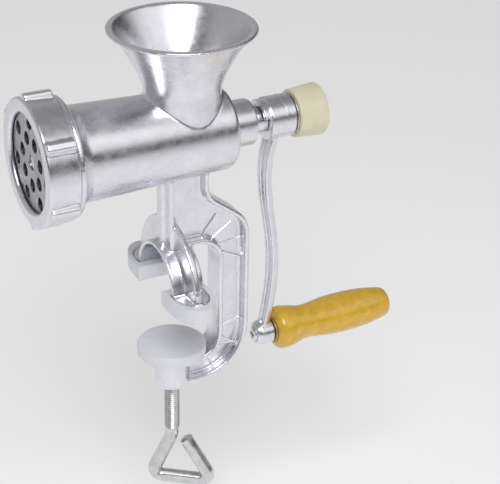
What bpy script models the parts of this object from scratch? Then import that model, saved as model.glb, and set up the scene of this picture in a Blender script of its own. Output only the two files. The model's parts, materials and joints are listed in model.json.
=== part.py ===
# Hand crank meat grinder with a table clamp, built piece by piece.
#
# Frame: +Z up. The origin lies on the clamp screw's axis, in the plane of the two jaw
# shoes' undersides, so the table top is at Z = 0. The mincing barrel lies along X with
# its outlet towards -X and its crank towards +X. Y = 0 is the plane of symmetry.

import math

import bmesh
import bpy
from mathutils import Matrix, Vector

MM = 0.001
ROUND = 48              # sides of a large turned piece
SMALL_ROUND = 24        # sides of a small turned piece
GAP = 0.3 * MM          # clearance between faces that touch or run on each other

# --- Mincing barrel and hopper -------------------------------------------------------
AXIS_Z = 101.2 * MM             # height of the barrel's axis over the table top
BARREL_FRONT_X = -84.0 * MM     # mouth face of the barrel
BARREL_REAR_X = 34.9 * MM       # outer face of the rear wall
BARREL_FRONT_R = 28.4 * MM
BARREL_REAR_R = 25.1 * MM
BARREL_WALL = 3.2 * MM
REAR_WALL = 5.0 * MM
REAR_SHOULDER = 4.0 * MM        # rounding of the rear edge
BEARING_R = 14.2 * MM           # boss that carries the crankshaft
BEARING_LENGTH = 16.4 * MM
COLLAR_WIDTH = 3.0 * MM
COLLAR_STEP = 0.9 * MM
COLLAR_FLARE = 5.0 * MM
COLLAR_FOOT = 2.2 * MM          # height of the flare's bend over the barrel
COLLAR_BEND_SHARE = 0.4         # where along the flare it bends
BEARING_EDGE = 1.0 * MM

HOPPER_X = 7.8 * MM
HOPPER_HEIGHT = 66.2 * MM       # rim over the barrel's axis
HOPPER_RIM_R = 43.5 * MM
HOPPER_THROAT_R = 22.9 * MM
HOPPER_WALL = 2.4 * MM
HOPPER_LIP = 1.5 * MM           # bead standing out round the rim
HOPPER_LIP_HEIGHT = 2.2 * MM
HOPPER_NECK = 2.0 * MM          # straight stretch of throat above the barrel
HOPPER_CURVE = 1.35             # 1 is a straight cone, more flares towards the rim

# --- Plate, ring nut and knife ---------------------------------------------------------
PLATE_R = 31.0 * MM
PLATE_THICKNESS = 5.0 * MM
PLATE_PROUD = 1.4 * MM          # plate's face in front of the barrel's mouth
PLATE_HOLE_R = 4.0 * MM
PLATE_HOLES_PER_RING = 7
PLATE_INNER_RING_R = 14.0 * MM
PLATE_OUTER_RING_R = 23.8 * MM
PLATE_INNER_PHASE = math.radians(12.9)
PLATE_OUTER_PHASE = math.radians(36)
PLATE_SEAT_WIDTH = 3.9 * MM     # ledge in the barrel that the plate rests against
RING_LENGTH = 19.2 * MM
RING_LIP = 3.0 * MM
RING_WALL = 3.1 * MM
RING_TAPER = 1.0 * MM
RING_OVERLAP = 2.2 * MM         # lip over the plate's edge
THREAD_WALL = 3.3 * MM          # barrel's threaded head outside the plate
LUG_COUNT = 6
LUG_PHASE = math.radians(26)
LUG_HEIGHT = 3.0 * MM
LUG_ROOT = 8.0 * MM
LUG_TIP = 4.6 * MM
RING_FRONT_EDGE = 1.0 * MM
RING_LIP_CHAMFER = 1.4 * MM
KEY_R = 1.5 * MM
KEY_LENGTH = 7.0 * MM
KNIFE_THICKNESS = 5.0 * MM
KNIFE_BLADES = 4
KNIFE_HUB_R = 8.5 * MM
KNIFE_BLADE_WIDTH = 8.0 * MM
KNIFE_TIP_SHARE = 0.4           # blade's trailing corner over its half width
STUD_SQUARE = 9.0 * MM
STUD_PIN_R = 4.0 * MM
STUD_ROOT_R = 5.0 * MM
STUD_ROOT_LENGTH = 12.0 * MM

# --- Feed screw and crank shaft --------------------------------------------------------
SCREW_CLEARANCE = 1.2 * MM      # flight to barrel wall
SCREW_CORE_R = 9.0 * MM
SCREW_PITCH = 30.0 * MM
SCREW_FLIGHT_SPAN = math.radians(66)
SCREW_SIDES = 20
SCREW_STATIONS = 14             # cross-sections in one pitch
FLIGHT_CREST_SHARE = 0.82       # flight's flat crest over its span
LEAD_IN_STATIONS = 6            # cross-sections over which the flight rises
LEAD_IN_LEAST = 0.3
SHAFT_R = 8.0 * MM
BUSH_WALL = 2.4 * MM
THRUST_WASHER = 1.6 * MM
THRUST_WASHER_R = 15.0 * MM
SHAFT_TONGUE = 10.4 * MM        # across the flats that drive the crank

# --- Crank and thumb screw -------------------------------------------------------------
CRANK_LENGTH = 149.0 * MM
HUB_X = 61.0 * MM
HUB_LENGTH = 16.9 * MM
HUB_R = 13.0 * MM
HUB_FLOOR = 2.4 * MM            # hub wall that the thumb screw presses on
HUB_LIP = 4.2 * MM              # half collar standing out towards the barrel
HUB_LIP_SPAN = (20, 160)        # degrees round the hub
HUB_LIP_ROOM = 1.5 * MM         # collar to shaft
HUB_EDGE = 0.8 * MM
ARM_TOP_WIDTH = 13.5 * MM
ARM_FOOT_WIDTH = 9.5 * MM
ARM_THICKNESS = 5.0 * MM
ARM_GROOVE = 1.5 * MM
ARM_GROOVE_SHARE = 0.45         # groove's width over the arm's width
ARM_BOW = 5.6 * MM
ARM_BOW_SKEW = 0.85
ARM_BOW_FADE = 0.35
ARM_STATIONS = 18
ARM_SLOPE_STEP = 0.02           # share of the arm over which its direction is read
ARM_GROOVE_FLOOR = 0.7          # groove's floor over its mouth
EYE_R = 8.0 * MM
EYE_NOSE_R = 6.2 * MM
EYE_X = 58.0 * MM
EYE_LENGTH = 11.6 * MM
EYE_EDGE = 1.6 * MM
THUMB_WASHER = 1.0 * MM
THUMB_STUD_R = 4.0 * MM
THUMB_STUD_REACH = 20.0 * MM
THUMB_KNOB_LENGTH = 18.6 * MM
THUMB_KNOB_ROOT_R = 14.7 * MM
THUMB_KNOB_R = 16.3 * MM
THUMB_KNOB_CROWN = 0.8 * MM
THUMB_KNOB_EDGE = 1.4 * MM
THUMB_INSERT_SHARE = 0.7        # stud's depth in the knob over the knob's length

# --- Hand grip -------------------------------------------------------------------------
GRIP_LENGTH = 84.0 * MM
GRIP_BULB_R = 13.9 * MM
GRIP_NECK_R = 11.0 * MM
GRIP_SWELL_R = 12.9 * MM
GRIP_END_R = 10.5 * MM
AXLE_R = 3.0 * MM
AXLE_HEAD_R = 4.8 * MM
AXLE_HEAD = 2.2 * MM
AXLE_RECESS = 1.2 * MM
AXLE_EDGE = 0.8 * MM
CROSS_LENGTH = 5.6 * MM
CROSS_WIDTH = 1.3 * MM
CROSS_DEPTH = 1.1 * MM
FERRULE_R = 8.6 * MM
FERRULE = 1.4 * MM
END_NUT_ACROSS = 10.0 * MM
END_NUT = 4.0 * MM
END_WASHER = 1.0 * MM
END_WASHER_R = 6.5 * MM
END_POCKET_R = 7.2 * MM
END_POCKET = 7.0 * MM

# --- Stand: stem, C-shaped frame and jaw -------------------------------------------------
JAW_X = -0.5 * MM               # middle of the jaw bridge
WEB = 4.4 * MM                  # thickness of the frame's plate
FLANGE = 3.0 * MM
FLANGE_WIDTH = 17.5 * MM
STEM_FRONT_X = -4.8 * MM
STEM_WIDTH = 20.0 * MM
STEM_RIB = 2.2 * MM
NECK_X = 21.5 * MM              # rear edge of the frame under the barrel
SPINE_REAR_X = 49.0 * MM
SPINE_WIDTH = 20.5 * MM
SHOULDER_DROP = 40.0 * MM       # barrel's axis to the neck's bend
SHOULDER_SLOPE = 0.74           # fall per run from the neck to the spine
NECK_FILLET = 14.0 * MM
SHOULDER_R = 19.0 * MM
HEEL_R = 33.5 * MM
ARM_HEIGHT = 17.2 * MM          # lower arm, floor of the throat to its underside
THROAT_TOP = 30.3 * MM
THROAT_FLOOR = -49.5 * MM
THROAT_TOP_R = 13.0 * MM
THROAT_FLOOR_R = 14.0 * MM
ARCH_R = 23.5 * MM              # underside of the bridge over the table edge
ARCH_CENTRE_Z = 6.5 * MM
ARCH_STRIP = 2.8 * MM
ARCH_WIDTH = 20.4 * MM
GUSSET_R = 41.0 * MM
GUSSET = 4.0 * MM
FOOT_BOTTOM = 3.0 * MM
FOOT = 6.0 * MM
FOOT_WIDTH = 21.0 * MM
FOOT_REACH = 1.4 * MM           # foot beyond the gusset
FOOT_OVERLAP = 1.0 * MM         # foot inside the arch
FOOT_STRAIGHT_SHARE = 0.3       # straight sides over the foot's length
RIB_WIDTH = 1.0 * MM
RIB_HEIGHT = 0.9 * MM
RIB_START_SHARE = 0.16          # start of a rib over the spine's width
TOP_RIBS = ((76, -24), (48, -14), (26, -20), (8, -34))      # degrees: place, lean
LOW_RIBS = ((4, 10), (-14, -30), (-40, 34), (-62, -6))

# --- Shoes and clamp -----------------------------------------------------------------
SHOE_HEIGHT = 9.6 * MM
SHOE_SIDE = 2.9 * MM            # shoe wall beside the foot
SHOE_TIP = 6.2 * MM             # shoe wall beyond the foot
JAW_OPENING = 38.0 * MM         # shoe to pad, as set
PAD_R = 21.5 * MM
PAD_HEIGHT = 7.0 * MM
PAD_SKIN = 3.4 * MM
PAD_SKIRT = 2.2 * MM
DISC_THICKNESS = 2.6 * MM
CLAMP_THREAD_R = 4.8 * MM
CLAMP_BOSS_WALL = 5.6 * MM
CLAMP_BOSS_DROP = 1.8 * MM      # boss below the lower arm
CLAMP_BOSS_RISE = 0.6 * MM      # boss above the lower arm
CLAMP_BOSS_EDGE = 1.2 * MM
PAD_EDGE = 0.8 * MM
CLAMP_TIP_EDGE = 0.5 * MM
CLAMP_THREAD_OUT = 34.0 * MM    # thread below the boss, as set
CLAMP_ROD_R = 4.4 * MM
CLAMP_TIP_R = 3.0 * MM
RETAINER_R = 5.6 * MM
RETAINER = 1.0 * MM
HANDLE_TURN = math.radians(-37)
HANDLE_DROP = 38.0 * MM         # thread's end to the handle's bar
HANDLE_LEFT = 14.3 * MM
HANDLE_RIGHT = 26.9 * MM
HANDLE_END = (8.6 * MM, 6.6 * MM)   # reach and drop of the cut end
HANDLE_NECK = 5.0 * MM          # thread's end to the first bend
HANDLE_NECK_R = 22.0 * MM
HANDLE_LEFT_R = 5.2 * MM
HANDLE_RIGHT_R = 4.8 * MM

# --- Sizes that follow ------------------------------------------------------------------
HOPPER_RIM_Z = AXIS_Z + HOPPER_HEIGHT
HEAD_R = PLATE_R + THREAD_WALL
PLATE_FRONT_X = BARREL_FRONT_X - PLATE_PROUD
PLATE_REAR_X = PLATE_FRONT_X + PLATE_THICKNESS
SEAT_X = PLATE_REAR_X + GAP
CHAMBER_R = PLATE_R - PLATE_SEAT_WIDTH
RING_BORE_R = HEAD_R + GAP
RING_R = RING_BORE_R + RING_WALL
RING_FRONT_X = PLATE_FRONT_X - GAP - RING_LIP
RING_REAR_X = RING_FRONT_X + RING_LENGTH
COLLAR_X = RING_REAR_X + GAP
COLLAR_END_X = COLLAR_X + COLLAR_WIDTH
BARREL_ROOT_X = COLLAR_END_X + COLLAR_FLARE
BORE_END_X = BARREL_REAR_X - REAR_WALL
KNIFE_FRONT_X = PLATE_REAR_X + GAP
KNIFE_REAR_X = KNIFE_FRONT_X + KNIFE_THICKNESS
BEARING_END_X = BARREL_REAR_X + BEARING_LENGTH
BUSH_BORE_R = SHAFT_R + GAP
BUSH_R = BUSH_BORE_R + BUSH_WALL
BEARING_BORE_R = BUSH_R + GAP
THRUST_X = BORE_END_X - GAP - THRUST_WASHER
SCREW_FRONT_X = KNIFE_REAR_X + GAP
SCREW_REAR_X = THRUST_X - GAP
HUB_END_X = HUB_X + HUB_LENGTH
TONGUE_END_X = HUB_END_X - HUB_FLOOR - GAP
THUMB_WASHER_X = HUB_END_X + GAP
KNOB_X = THUMB_WASHER_X + THUMB_WASHER + GAP
GRIP_AXIS_Z = AXIS_Z - CRANK_LENGTH
EYE_END_X = EYE_X + EYE_LENGTH
FERRULE_X = EYE_END_X + GAP
GRIP_X = FERRULE_X + FERRULE + GAP
GRIP_END_X = GRIP_X + GRIP_LENGTH
THROAT_X = SPINE_REAR_X - SPINE_WIDTH
FRAME_BOTTOM = THROAT_FLOOR - ARM_HEIGHT
BOSS_R = CLAMP_THREAD_R + CLAMP_BOSS_WALL
BOSS_BOTTOM = FRAME_BOTTOM - CLAMP_BOSS_DROP
BOSS_TOP = THROAT_FLOOR + CLAMP_BOSS_RISE
PAD_TOP = -JAW_OPENING
PAD_BOTTOM = PAD_TOP - PAD_HEIGHT
DISC_TOP = PAD_TOP - PAD_SKIN - GAP
DISC_BOTTOM = DISC_TOP - DISC_THICKNESS
DISC_R = PAD_R - PAD_SKIRT - GAP
DISC_HOLE_R = CLAMP_TIP_R + GAP
RETAINER_BOTTOM = DISC_TOP + GAP
TIP_TOP = RETAINER_BOTTOM + RETAINER + GAP
CLAMP_SHOULDER_Z = DISC_BOTTOM - GAP
THREAD_END_Z = BOSS_BOTTOM - CLAMP_THREAD_OUT
HANDLE_BAR_Z = THREAD_END_Z - HANDLE_DROP
FOOT_END_Y = GUSSET_R + FOOT_REACH
SHOE_OUTER_Y = FOOT_END_Y + GAP + SHOE_TIP
SHOE_WIDTH = FOOT_WIDTH + 2 * (GAP + SHOE_SIDE)
FOOT_INNER_Y = ARCH_R - FOOT_OVERLAP
SHOE_INNER_Y = FOOT_INNER_Y - GAP - SHOE_TIP


# --- Tools ------------------------------------------------------------------------------
def clear_scene():
    for old in list(bpy.data.objects):
        bpy.data.objects.remove(old, do_unlink=True)


def finish_of(name, colour, roughness, metallic):
    material = bpy.data.materials.new(name)
    material.use_nodes = True
    shader = material.node_tree.nodes["Principled BSDF"]
    shader.inputs["Base Color"].default_value = (*colour, 1.0)
    shader.inputs["Roughness"].default_value = roughness
    shader.inputs["Metallic"].default_value = metallic
    return material


def piece(name, shape, material=None, smooth_angle=40):
    """Put a bmesh whose points are in world space into the scene as one object."""
    bmesh.ops.recalc_face_normals(shape, faces=shape.faces)
    mesh = bpy.data.meshes.new(name)
    shape.to_mesh(mesh)
    shape.free()
    obj = bpy.data.objects.new(name, mesh)
    bpy.context.scene.collection.objects.link(obj)
    if material:
        mesh.materials.append(material)
    mesh.shade_smooth()
    mesh.set_sharp_from_angle(angle=math.radians(smooth_angle))
    return obj


def set_origin(obj, point):
    """Move an object's origin to its joint's axis, leaving its shape in place."""
    obj.data.transform(Matrix.Translation(-Vector(point)))
    obj.location = point


def to_world(axis, centre, along, across, up):
    """A point given along a turning axis and in the plane across it."""
    if axis == "X":
        return Vector((along, centre[0] + across, centre[1] + up))
    return Vector((centre[0] + across, centre[1] + up, along))


def turned(profile, axis, centre, sides=ROUND, phase=0.0):
    """Turn (distance along axis, radius) pairs. A profile off the axis closes on itself."""
    shape = bmesh.new()
    rings = []
    for along, radius in profile:
        count = sides if radius > 0 else 1
        turns = [phase + 2 * math.pi * step / sides for step in range(count)]
        rings.append([
            shape.verts.new(to_world(axis, centre, along, radius * math.cos(a), radius * math.sin(a)))
            for a in turns
        ])
    pairs = list(zip(rings, rings[1:]))
    if profile[0][1] > 0 and profile[-1][1] > 0:
        pairs.append((rings[-1], rings[0]))
    for low, high in pairs:
        for step in range(sides):
            after = (step + 1) % sides
            corners = [low[step % len(low)], low[after % len(low)],
                       high[after % len(high)], high[step % len(high)]]
            corners = list(dict.fromkeys(corners))
            if len(corners) > 2:
                shape.faces.new(corners)
    return shape


def slab(outline, plane, low, high):
    """Extrude a closed outline of (u, v) points across its plane, from low to high."""
    place = {
        "XZ": lambda u, v, depth: (u, depth, v),
        "YZ": lambda u, v, depth: (depth, u, v),
        "XY": lambda u, v, depth: (u, v, depth),
    }[plane]
    shape = bmesh.new()
    near = [shape.verts.new(place(u, v, low)) for u, v in outline]
    far = [shape.verts.new(place(u, v, high)) for u, v in outline]
    shape.faces.new(near)
    shape.faces.new(list(reversed(far)))
    for step in range(len(outline)):
        after = (step + 1) % len(outline)
        shape.faces.new([near[step], far[step], far[after], near[after]])
    return shape


def box(x_span, y_span, z_span):
    corners = [(x_span[0], y_span[0]), (x_span[1], y_span[0]),
               (x_span[1], y_span[1]), (x_span[0], y_span[1])]
    return slab(corners, "XY", z_span[0], z_span[1])


def arc(centre, radius, start, end, steps):
    """Points on an arc, angles in degrees."""
    points = []
    for step in range(steps + 1):
        angle = math.radians(start + (end - start) * step / steps)
        points.append((centre[0] + radius * math.cos(angle), centre[1] + radius * math.sin(angle)))
    return points


def rounded(corners, steps=8):
    """An open path through (u, v, radius) corners, each corner rounded by its radius."""
    path = [tuple(corners[0][:2])]
    for before, corner, after in zip(corners, corners[1:], corners[2:]):
        here = Vector(corner[:2])
        back = (Vector(before[:2]) - here).normalized()
        ahead = (Vector(after[:2]) - here).normalized()
        half = back.angle(ahead) / 2
        start = here + back * corner[2] / math.tan(half)
        centre = here + (back + ahead).normalized() * corner[2] / math.sin(half)
        first = start - centre
        turn = (math.pi - 2 * half) * (1 if back.cross(ahead) < 0 else -1)
        for step in range(steps + 1):
            swing = Matrix.Rotation(turn * step / steps, 2)
            path.append(tuple(centre + swing @ first))
    path.append(tuple(corners[-1][:2]))
    return path


def offset(path, distance):
    """The path moved sideways, to the left of its direction for a positive distance."""
    moved = []
    for step, point in enumerate(path):
        before = Vector(path[max(step - 1, 0)])
        after = Vector(path[min(step + 1, len(path) - 1)])
        along = (after - before).normalized()
        moved.append((point[0] - along.y * distance, point[1] + along.x * distance))
    return moved


def swept(stations):
    """Loft closed rings of points, one after the other, and cap both ends."""
    shape = bmesh.new()
    rings = [[shape.verts.new(point) for point in ring] for ring in stations]
    for low, high in zip(rings, rings[1:]):
        for step in range(len(low)):
            after = (step + 1) % len(low)
            shape.faces.new([low[step], low[after], high[after], high[step]])
    shape.faces.new(list(reversed(rings[0])))
    shape.faces.new(rings[-1])
    return shape


def group(name, objects):
    """Helpers that a Boolean reads, kept out of the finished model."""
    members = bpy.data.collections.new(name)
    bpy.context.scene.collection.children.link(members)
    for obj in objects:
        bpy.context.scene.collection.objects.unlink(obj)
        members.objects.link(obj)
        obj.hide_render = True
        obj.display_type = "WIRE"
    return members


def combine(obj, operation, name, shapes):
    """Add or cut a set of helper shapes with one exact Boolean."""
    helpers = [piece(f"{name}_{index}", shape) for index, shape in enumerate(shapes)]
    boolean = obj.modifiers.new(name, "BOOLEAN")
    boolean.operation = operation
    boolean.operand_type = "COLLECTION"
    boolean.collection = group(name, helpers)
    boolean.solver = "EXACT"


# --- Casting ----------------------------------------------------------------------------
def barrel_outside():
    bend = [(BARREL_REAR_X - REAR_SHOULDER + REAR_SHOULDER * math.sin(math.radians(a)),
             BARREL_REAR_R - REAR_SHOULDER + REAR_SHOULDER * math.cos(math.radians(a)))
            for a in (0, 30, 60, 90)]
    collar_r = RING_R - RING_TAPER - COLLAR_STEP
    flare_x = COLLAR_END_X + COLLAR_BEND_SHARE * COLLAR_FLARE
    profile = [(BARREL_FRONT_X, 0), (BARREL_FRONT_X, HEAD_R), (COLLAR_X, HEAD_R), (COLLAR_X, collar_r),
               (COLLAR_END_X, collar_r), (flare_x, BARREL_FRONT_R + COLLAR_FOOT),
               (BARREL_ROOT_X, BARREL_FRONT_R), *bend, (BARREL_REAR_X, BEARING_R),
               (BEARING_END_X - BEARING_EDGE, BEARING_R),
               (BEARING_END_X, BEARING_R - BEARING_EDGE), (BEARING_END_X, 0)]
    return turned(profile, "X", (0, AXIS_Z))


def bore_r(x):
    """Radius of the barrel's tapered bore."""
    share = (x - BARREL_ROOT_X) / (BARREL_REAR_X - BARREL_ROOT_X)
    return BARREL_FRONT_R + (BARREL_REAR_R - BARREL_FRONT_R) * share - BARREL_WALL


def barrel_bore():
    seat_r = PLATE_R + GAP
    profile = [(BARREL_FRONT_X - MM, 0), (BARREL_FRONT_X - MM, seat_r), (SEAT_X, seat_r), (SEAT_X, CHAMBER_R),
               (COLLAR_X, CHAMBER_R), (BARREL_ROOT_X, bore_r(BARREL_ROOT_X)),
               (BORE_END_X, bore_r(BORE_END_X)), (BORE_END_X, BEARING_BORE_R),
               (BEARING_END_X + MM, BEARING_BORE_R), (BEARING_END_X + MM, 0)]
    return turned(profile, "X", (0, AXIS_Z))


def hopper_r(z):
    """Outer radius of the hopper at a height."""
    flare_start = AXIS_Z + BARREL_FRONT_R + HOPPER_NECK
    share = max(0.0, (z - flare_start) / (HOPPER_RIM_Z - flare_start))
    return HOPPER_THROAT_R + (HOPPER_RIM_R - HOPPER_LIP - HOPPER_THROAT_R) * share ** HOPPER_CURVE


def hopper_levels(top):
    start = AXIS_Z + BARREL_FRONT_R + HOPPER_NECK
    count = 7
    return [start + (top - start) * step / count for step in range(count + 1)]


def hopper_outside():
    lip_z = HOPPER_RIM_Z - HOPPER_LIP_HEIGHT
    wall = [(z, hopper_r(z)) for z in hopper_levels(lip_z)]
    profile = [(AXIS_Z, 0), (AXIS_Z, HOPPER_THROAT_R), *wall,
               (lip_z, HOPPER_RIM_R), (HOPPER_RIM_Z, HOPPER_RIM_R), (HOPPER_RIM_Z, 0)]
    return turned(profile, "Z", (HOPPER_X, 0))


def hopper_inside():
    wall = [(z, hopper_r(z) - HOPPER_WALL) for z in hopper_levels(HOPPER_RIM_Z)]
    top = HOPPER_RIM_Z + MM
    profile = [(AXIS_Z, 0), (AXIS_Z, HOPPER_THROAT_R - HOPPER_WALL), *wall,
               (top, wall[-1][1]), (top, 0)]
    return turned(profile, "Z", (HOPPER_X, 0))


def spine_path():
    """Outer edge of the frame, from inside the barrel down to the clamp boss."""
    bend_z = AXIS_Z - SHOULDER_DROP
    shoulder_z = bend_z - (SPINE_REAR_X - NECK_X) * SHOULDER_SLOPE
    return rounded([
        (NECK_X, AXIS_Z - bore_r(NECK_X) - BARREL_WALL / 2, 0),
        (NECK_X, bend_z, NECK_FILLET),
        (SPINE_REAR_X, shoulder_z, SHOULDER_R),
        (SPINE_REAR_X, FRAME_BOTTOM, HEEL_R),
        (0, FRAME_BOTTOM, 0),
    ])


def throat_path(start_x):
    """Inner edge of the frame, from the jaw round to the clamp boss."""
    return rounded([
        (start_x, THROAT_TOP, 0),
        (THROAT_X, THROAT_TOP, THROAT_TOP_R),
        (THROAT_X, THROAT_FLOOR, THROAT_FLOOR_R),
        (0, THROAT_FLOOR, 0),
    ])


def frame_web():
    start_x = STEM_FRONT_X + WEB / 4
    inner = throat_path(start_x)
    outline = spine_path() + list(reversed(inner)) + [(start_x, spine_path()[0][1])]
    return slab(outline, "XZ", -WEB / 2, WEB / 2)


def flange(path, side):
    outline = path + list(reversed(offset(path, side * FLANGE)))
    return slab(outline, "XZ", -FLANGE_WIDTH / 2, FLANGE_WIDTH / 2)


def stem_front():
    top = AXIS_Z - bore_r(STEM_FRONT_X) - BARREL_WALL / 2
    bottom = ARCH_CENTRE_Z + ARCH_R + ARCH_STRIP / 2
    plate = box((STEM_FRONT_X, STEM_FRONT_X + FLANGE), (-STEM_WIDTH / 2, STEM_WIDTH / 2), (bottom, top))
    rib = box((STEM_FRONT_X - STEM_RIB, STEM_FRONT_X + FLANGE / 2), (-STEM_RIB, STEM_RIB), (bottom, top))
    return [plate, rib]


def arch():
    outer = arc((0, ARCH_CENTRE_Z), ARCH_R + ARCH_STRIP, 0, 180, 24)
    inner = arc((0, ARCH_CENTRE_Z), ARCH_R, 180, 0, 24)
    ends = [(-ARCH_R, FOOT_BOTTOM), (ARCH_R, FOOT_BOTTOM)]
    outline = [(ARCH_R + ARCH_STRIP, FOOT_BOTTOM)] + outer + [(-ARCH_R - ARCH_STRIP, FOOT_BOTTOM)]
    outline += [ends[0]] + inner + [ends[1]]
    return slab(outline, "YZ", JAW_X - ARCH_WIDTH / 2, JAW_X + ARCH_WIDTH / 2)


def gusset():
    inner_r = ARCH_R + ARCH_STRIP / 2
    outer = arc((0, ARCH_CENTRE_Z), GUSSET_R, 0, 180, 24)
    inner = arc((0, ARCH_CENTRE_Z), inner_r, 180, 0, 24)
    sole = FOOT_BOTTOM + FOOT / 2
    outline = [(GUSSET_R, sole)] + outer + [(-GUSSET_R, sole), (-inner_r, sole)] + inner + [(inner_r, sole)]
    return slab(outline, "YZ", JAW_X - GUSSET / 2, JAW_X + GUSSET / 2)


def foot_outline(side, inner_y, outer_y, width, grow=0.0):
    """Straight at the inner end, a half ellipse at the outer end; side is -1 or 1."""
    straight = inner_y + FOOT_STRAIGHT_SHARE * (outer_y - inner_y)
    half = width / 2 + grow
    reach = outer_y + grow - straight
    curve = [(JAW_X + half * math.cos(math.radians(a)), side * (straight + reach * math.sin(math.radians(a))))
             for a in range(0, 181, 12)]
    return [(JAW_X + half, side * (inner_y - grow)), *curve, (JAW_X - half, side * (inner_y - grow))]


def foot(side):
    outline = foot_outline(side, FOOT_INNER_Y, FOOT_END_Y, FOOT_WIDTH)
    return slab(outline, "XY", FOOT_BOTTOM, FOOT_BOTTOM + FOOT)


def boss():
    profile = [(BOSS_BOTTOM, 0), (BOSS_BOTTOM, BOSS_R - CLAMP_BOSS_EDGE),
               (BOSS_BOTTOM + CLAMP_BOSS_EDGE, BOSS_R), (BOSS_TOP, BOSS_R), (BOSS_TOP, 0)]
    return turned(profile, "Z", (0, 0), 32)


def boss_hole():
    radius = CLAMP_THREAD_R + GAP
    profile = [(BOSS_BOTTOM - MM, 0), (BOSS_BOTTOM - MM, radius), (BOSS_TOP + MM, radius), (BOSS_TOP + MM, 0)]
    return turned(profile, "Z", (0, 0), SMALL_ROUND)


def key_hole(grow):
    """The key pin at the bottom of the barrel's mouth, or its hole when grown."""
    start = BARREL_FRONT_X - grow
    end = BARREL_FRONT_X + KEY_LENGTH + grow
    radius = KEY_R + grow
    profile = [(start, 0), (start, radius), (end, radius), (end, 0)]
    return turned(profile, "X", (0, AXIS_Z - PLATE_R), 12)


def web_ribs():
    """Thin stiffening ribs that fan over the bends of the frame's plate."""
    top_centre = Vector((THROAT_X - THROAT_TOP_R, THROAT_TOP - THROAT_TOP_R))
    low_centre = Vector((THROAT_X - THROAT_FLOOR_R, THROAT_FLOOR + THROAT_FLOOR_R))
    near = SPINE_WIDTH * RIB_START_SHARE
    far = SPINE_WIDTH - FLANGE / 2
    rays = [(top_centre, THROAT_TOP_R, angle, lean) for angle, lean in TOP_RIBS]
    rays += [(low_centre, THROAT_FLOOR_R, angle, lean) for angle, lean in LOW_RIBS]
    ribs = []
    for centre, radius, angle, lean in rays:
        turn = math.radians(angle)
        start = centre + Vector((math.cos(turn), math.sin(turn))) * (radius + near)
        heading = turn + math.radians(lean)
        end = start + Vector((math.cos(heading), math.sin(heading))) * (far - near)
        across = Vector((-math.sin(heading), math.cos(heading))) * RIB_WIDTH / 2
        outline = [start - across, end - across, end + across, start + across]
        depth = WEB / 2 + RIB_HEIGHT
        ribs.append(slab([tuple(point) for point in outline], "XZ", -depth, depth))
    return ribs


def build_casting(material):
    casting = piece("body_casting", barrel_outside(), material, 35)
    inner = throat_path(JAW_X)
    combine(casting, "UNION", "casting_solids", [
        hopper_outside(), frame_web(), flange(spine_path(), -1), flange(inner, 1),
        *stem_front(), arch(), gusset(), foot(-1), foot(1), boss(), *web_ribs(),
    ])
    combine(casting, "DIFFERENCE", "casting_cuts", [
        barrel_bore(), hopper_inside(), boss_hole(), key_hole(GAP),
    ])


def build_key_pin(material):
    piece("plate_key_pin", key_hole(0), material)


def build_bush(material):
    start = BORE_END_X + GAP
    profile = [(start, BUSH_BORE_R), (start, BUSH_R), (BEARING_END_X, BUSH_R), (BEARING_END_X, BUSH_BORE_R)]
    piece("shaft_bush", turned(profile, "X", (0, AXIS_Z), SMALL_ROUND), material)


def build_shoe(name, side, material):
    outline = foot_outline(side, SHOE_INNER_Y, SHOE_OUTER_Y, SHOE_WIDTH)
    shoe = piece(name, slab(outline, "XY", 0, SHOE_HEIGHT), material, 35)
    pocket = foot_outline(side, FOOT_INNER_Y, FOOT_END_Y, FOOT_WIDTH, GAP)
    combine(shoe, "DIFFERENCE", f"{name}_pocket", [slab(pocket, "XY", FOOT_BOTTOM - GAP, SHOE_HEIGHT + MM)])


# --- Outlet: ring nut, plate, knife -------------------------------------------------------
def build_ring_nut(material):
    lip_r = PLATE_R - RING_OVERLAP
    chamfer = RING_LIP_CHAMFER
    edge = RING_FRONT_EDGE
    inner_face = RING_FRONT_X + RING_LIP
    profile = [(RING_FRONT_X, lip_r + chamfer), (RING_FRONT_X, RING_R - edge), (RING_FRONT_X + edge, RING_R),
               (RING_REAR_X, RING_R - RING_TAPER), (RING_REAR_X, RING_BORE_R), (inner_face, RING_BORE_R),
               (inner_face, lip_r), (RING_FRONT_X + chamfer, lip_r)]
    ring = piece("ring_nut", turned(profile, "X", (0, AXIS_Z)), material, 35)
    lugs = []
    for index in range(LUG_COUNT):
        turn = LUG_PHASE + index * 2 * math.pi / LUG_COUNT
        outward = Vector((math.cos(turn), math.sin(turn)))
        across = Vector((-outward.y, outward.x))
        sunk = RING_R - RING_WALL / 2
        corners = [outward * sunk - across * LUG_ROOT / 2,
                   outward * (RING_R + LUG_HEIGHT) - across * LUG_TIP / 2,
                   outward * (RING_R + LUG_HEIGHT) + across * LUG_TIP / 2,
                   outward * sunk + across * LUG_ROOT / 2]
        outline = [(corner.x, AXIS_Z + corner.y) for corner in corners]
        lugs.append(slab(outline, "YZ", RING_FRONT_X + edge, RING_REAR_X - edge))
    combine(ring, "UNION", "ring_lugs", lugs)
    set_origin(ring, (0, 0, AXIS_Z))


def hole_cutter(y, z, radius, x_span, sides=12):
    over = MM
    low, high = x_span[0] - over, x_span[1] + over
    return turned([(low, 0), (low, radius), (high, radius), (high, 0)], "X", (y, z), sides)


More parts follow.
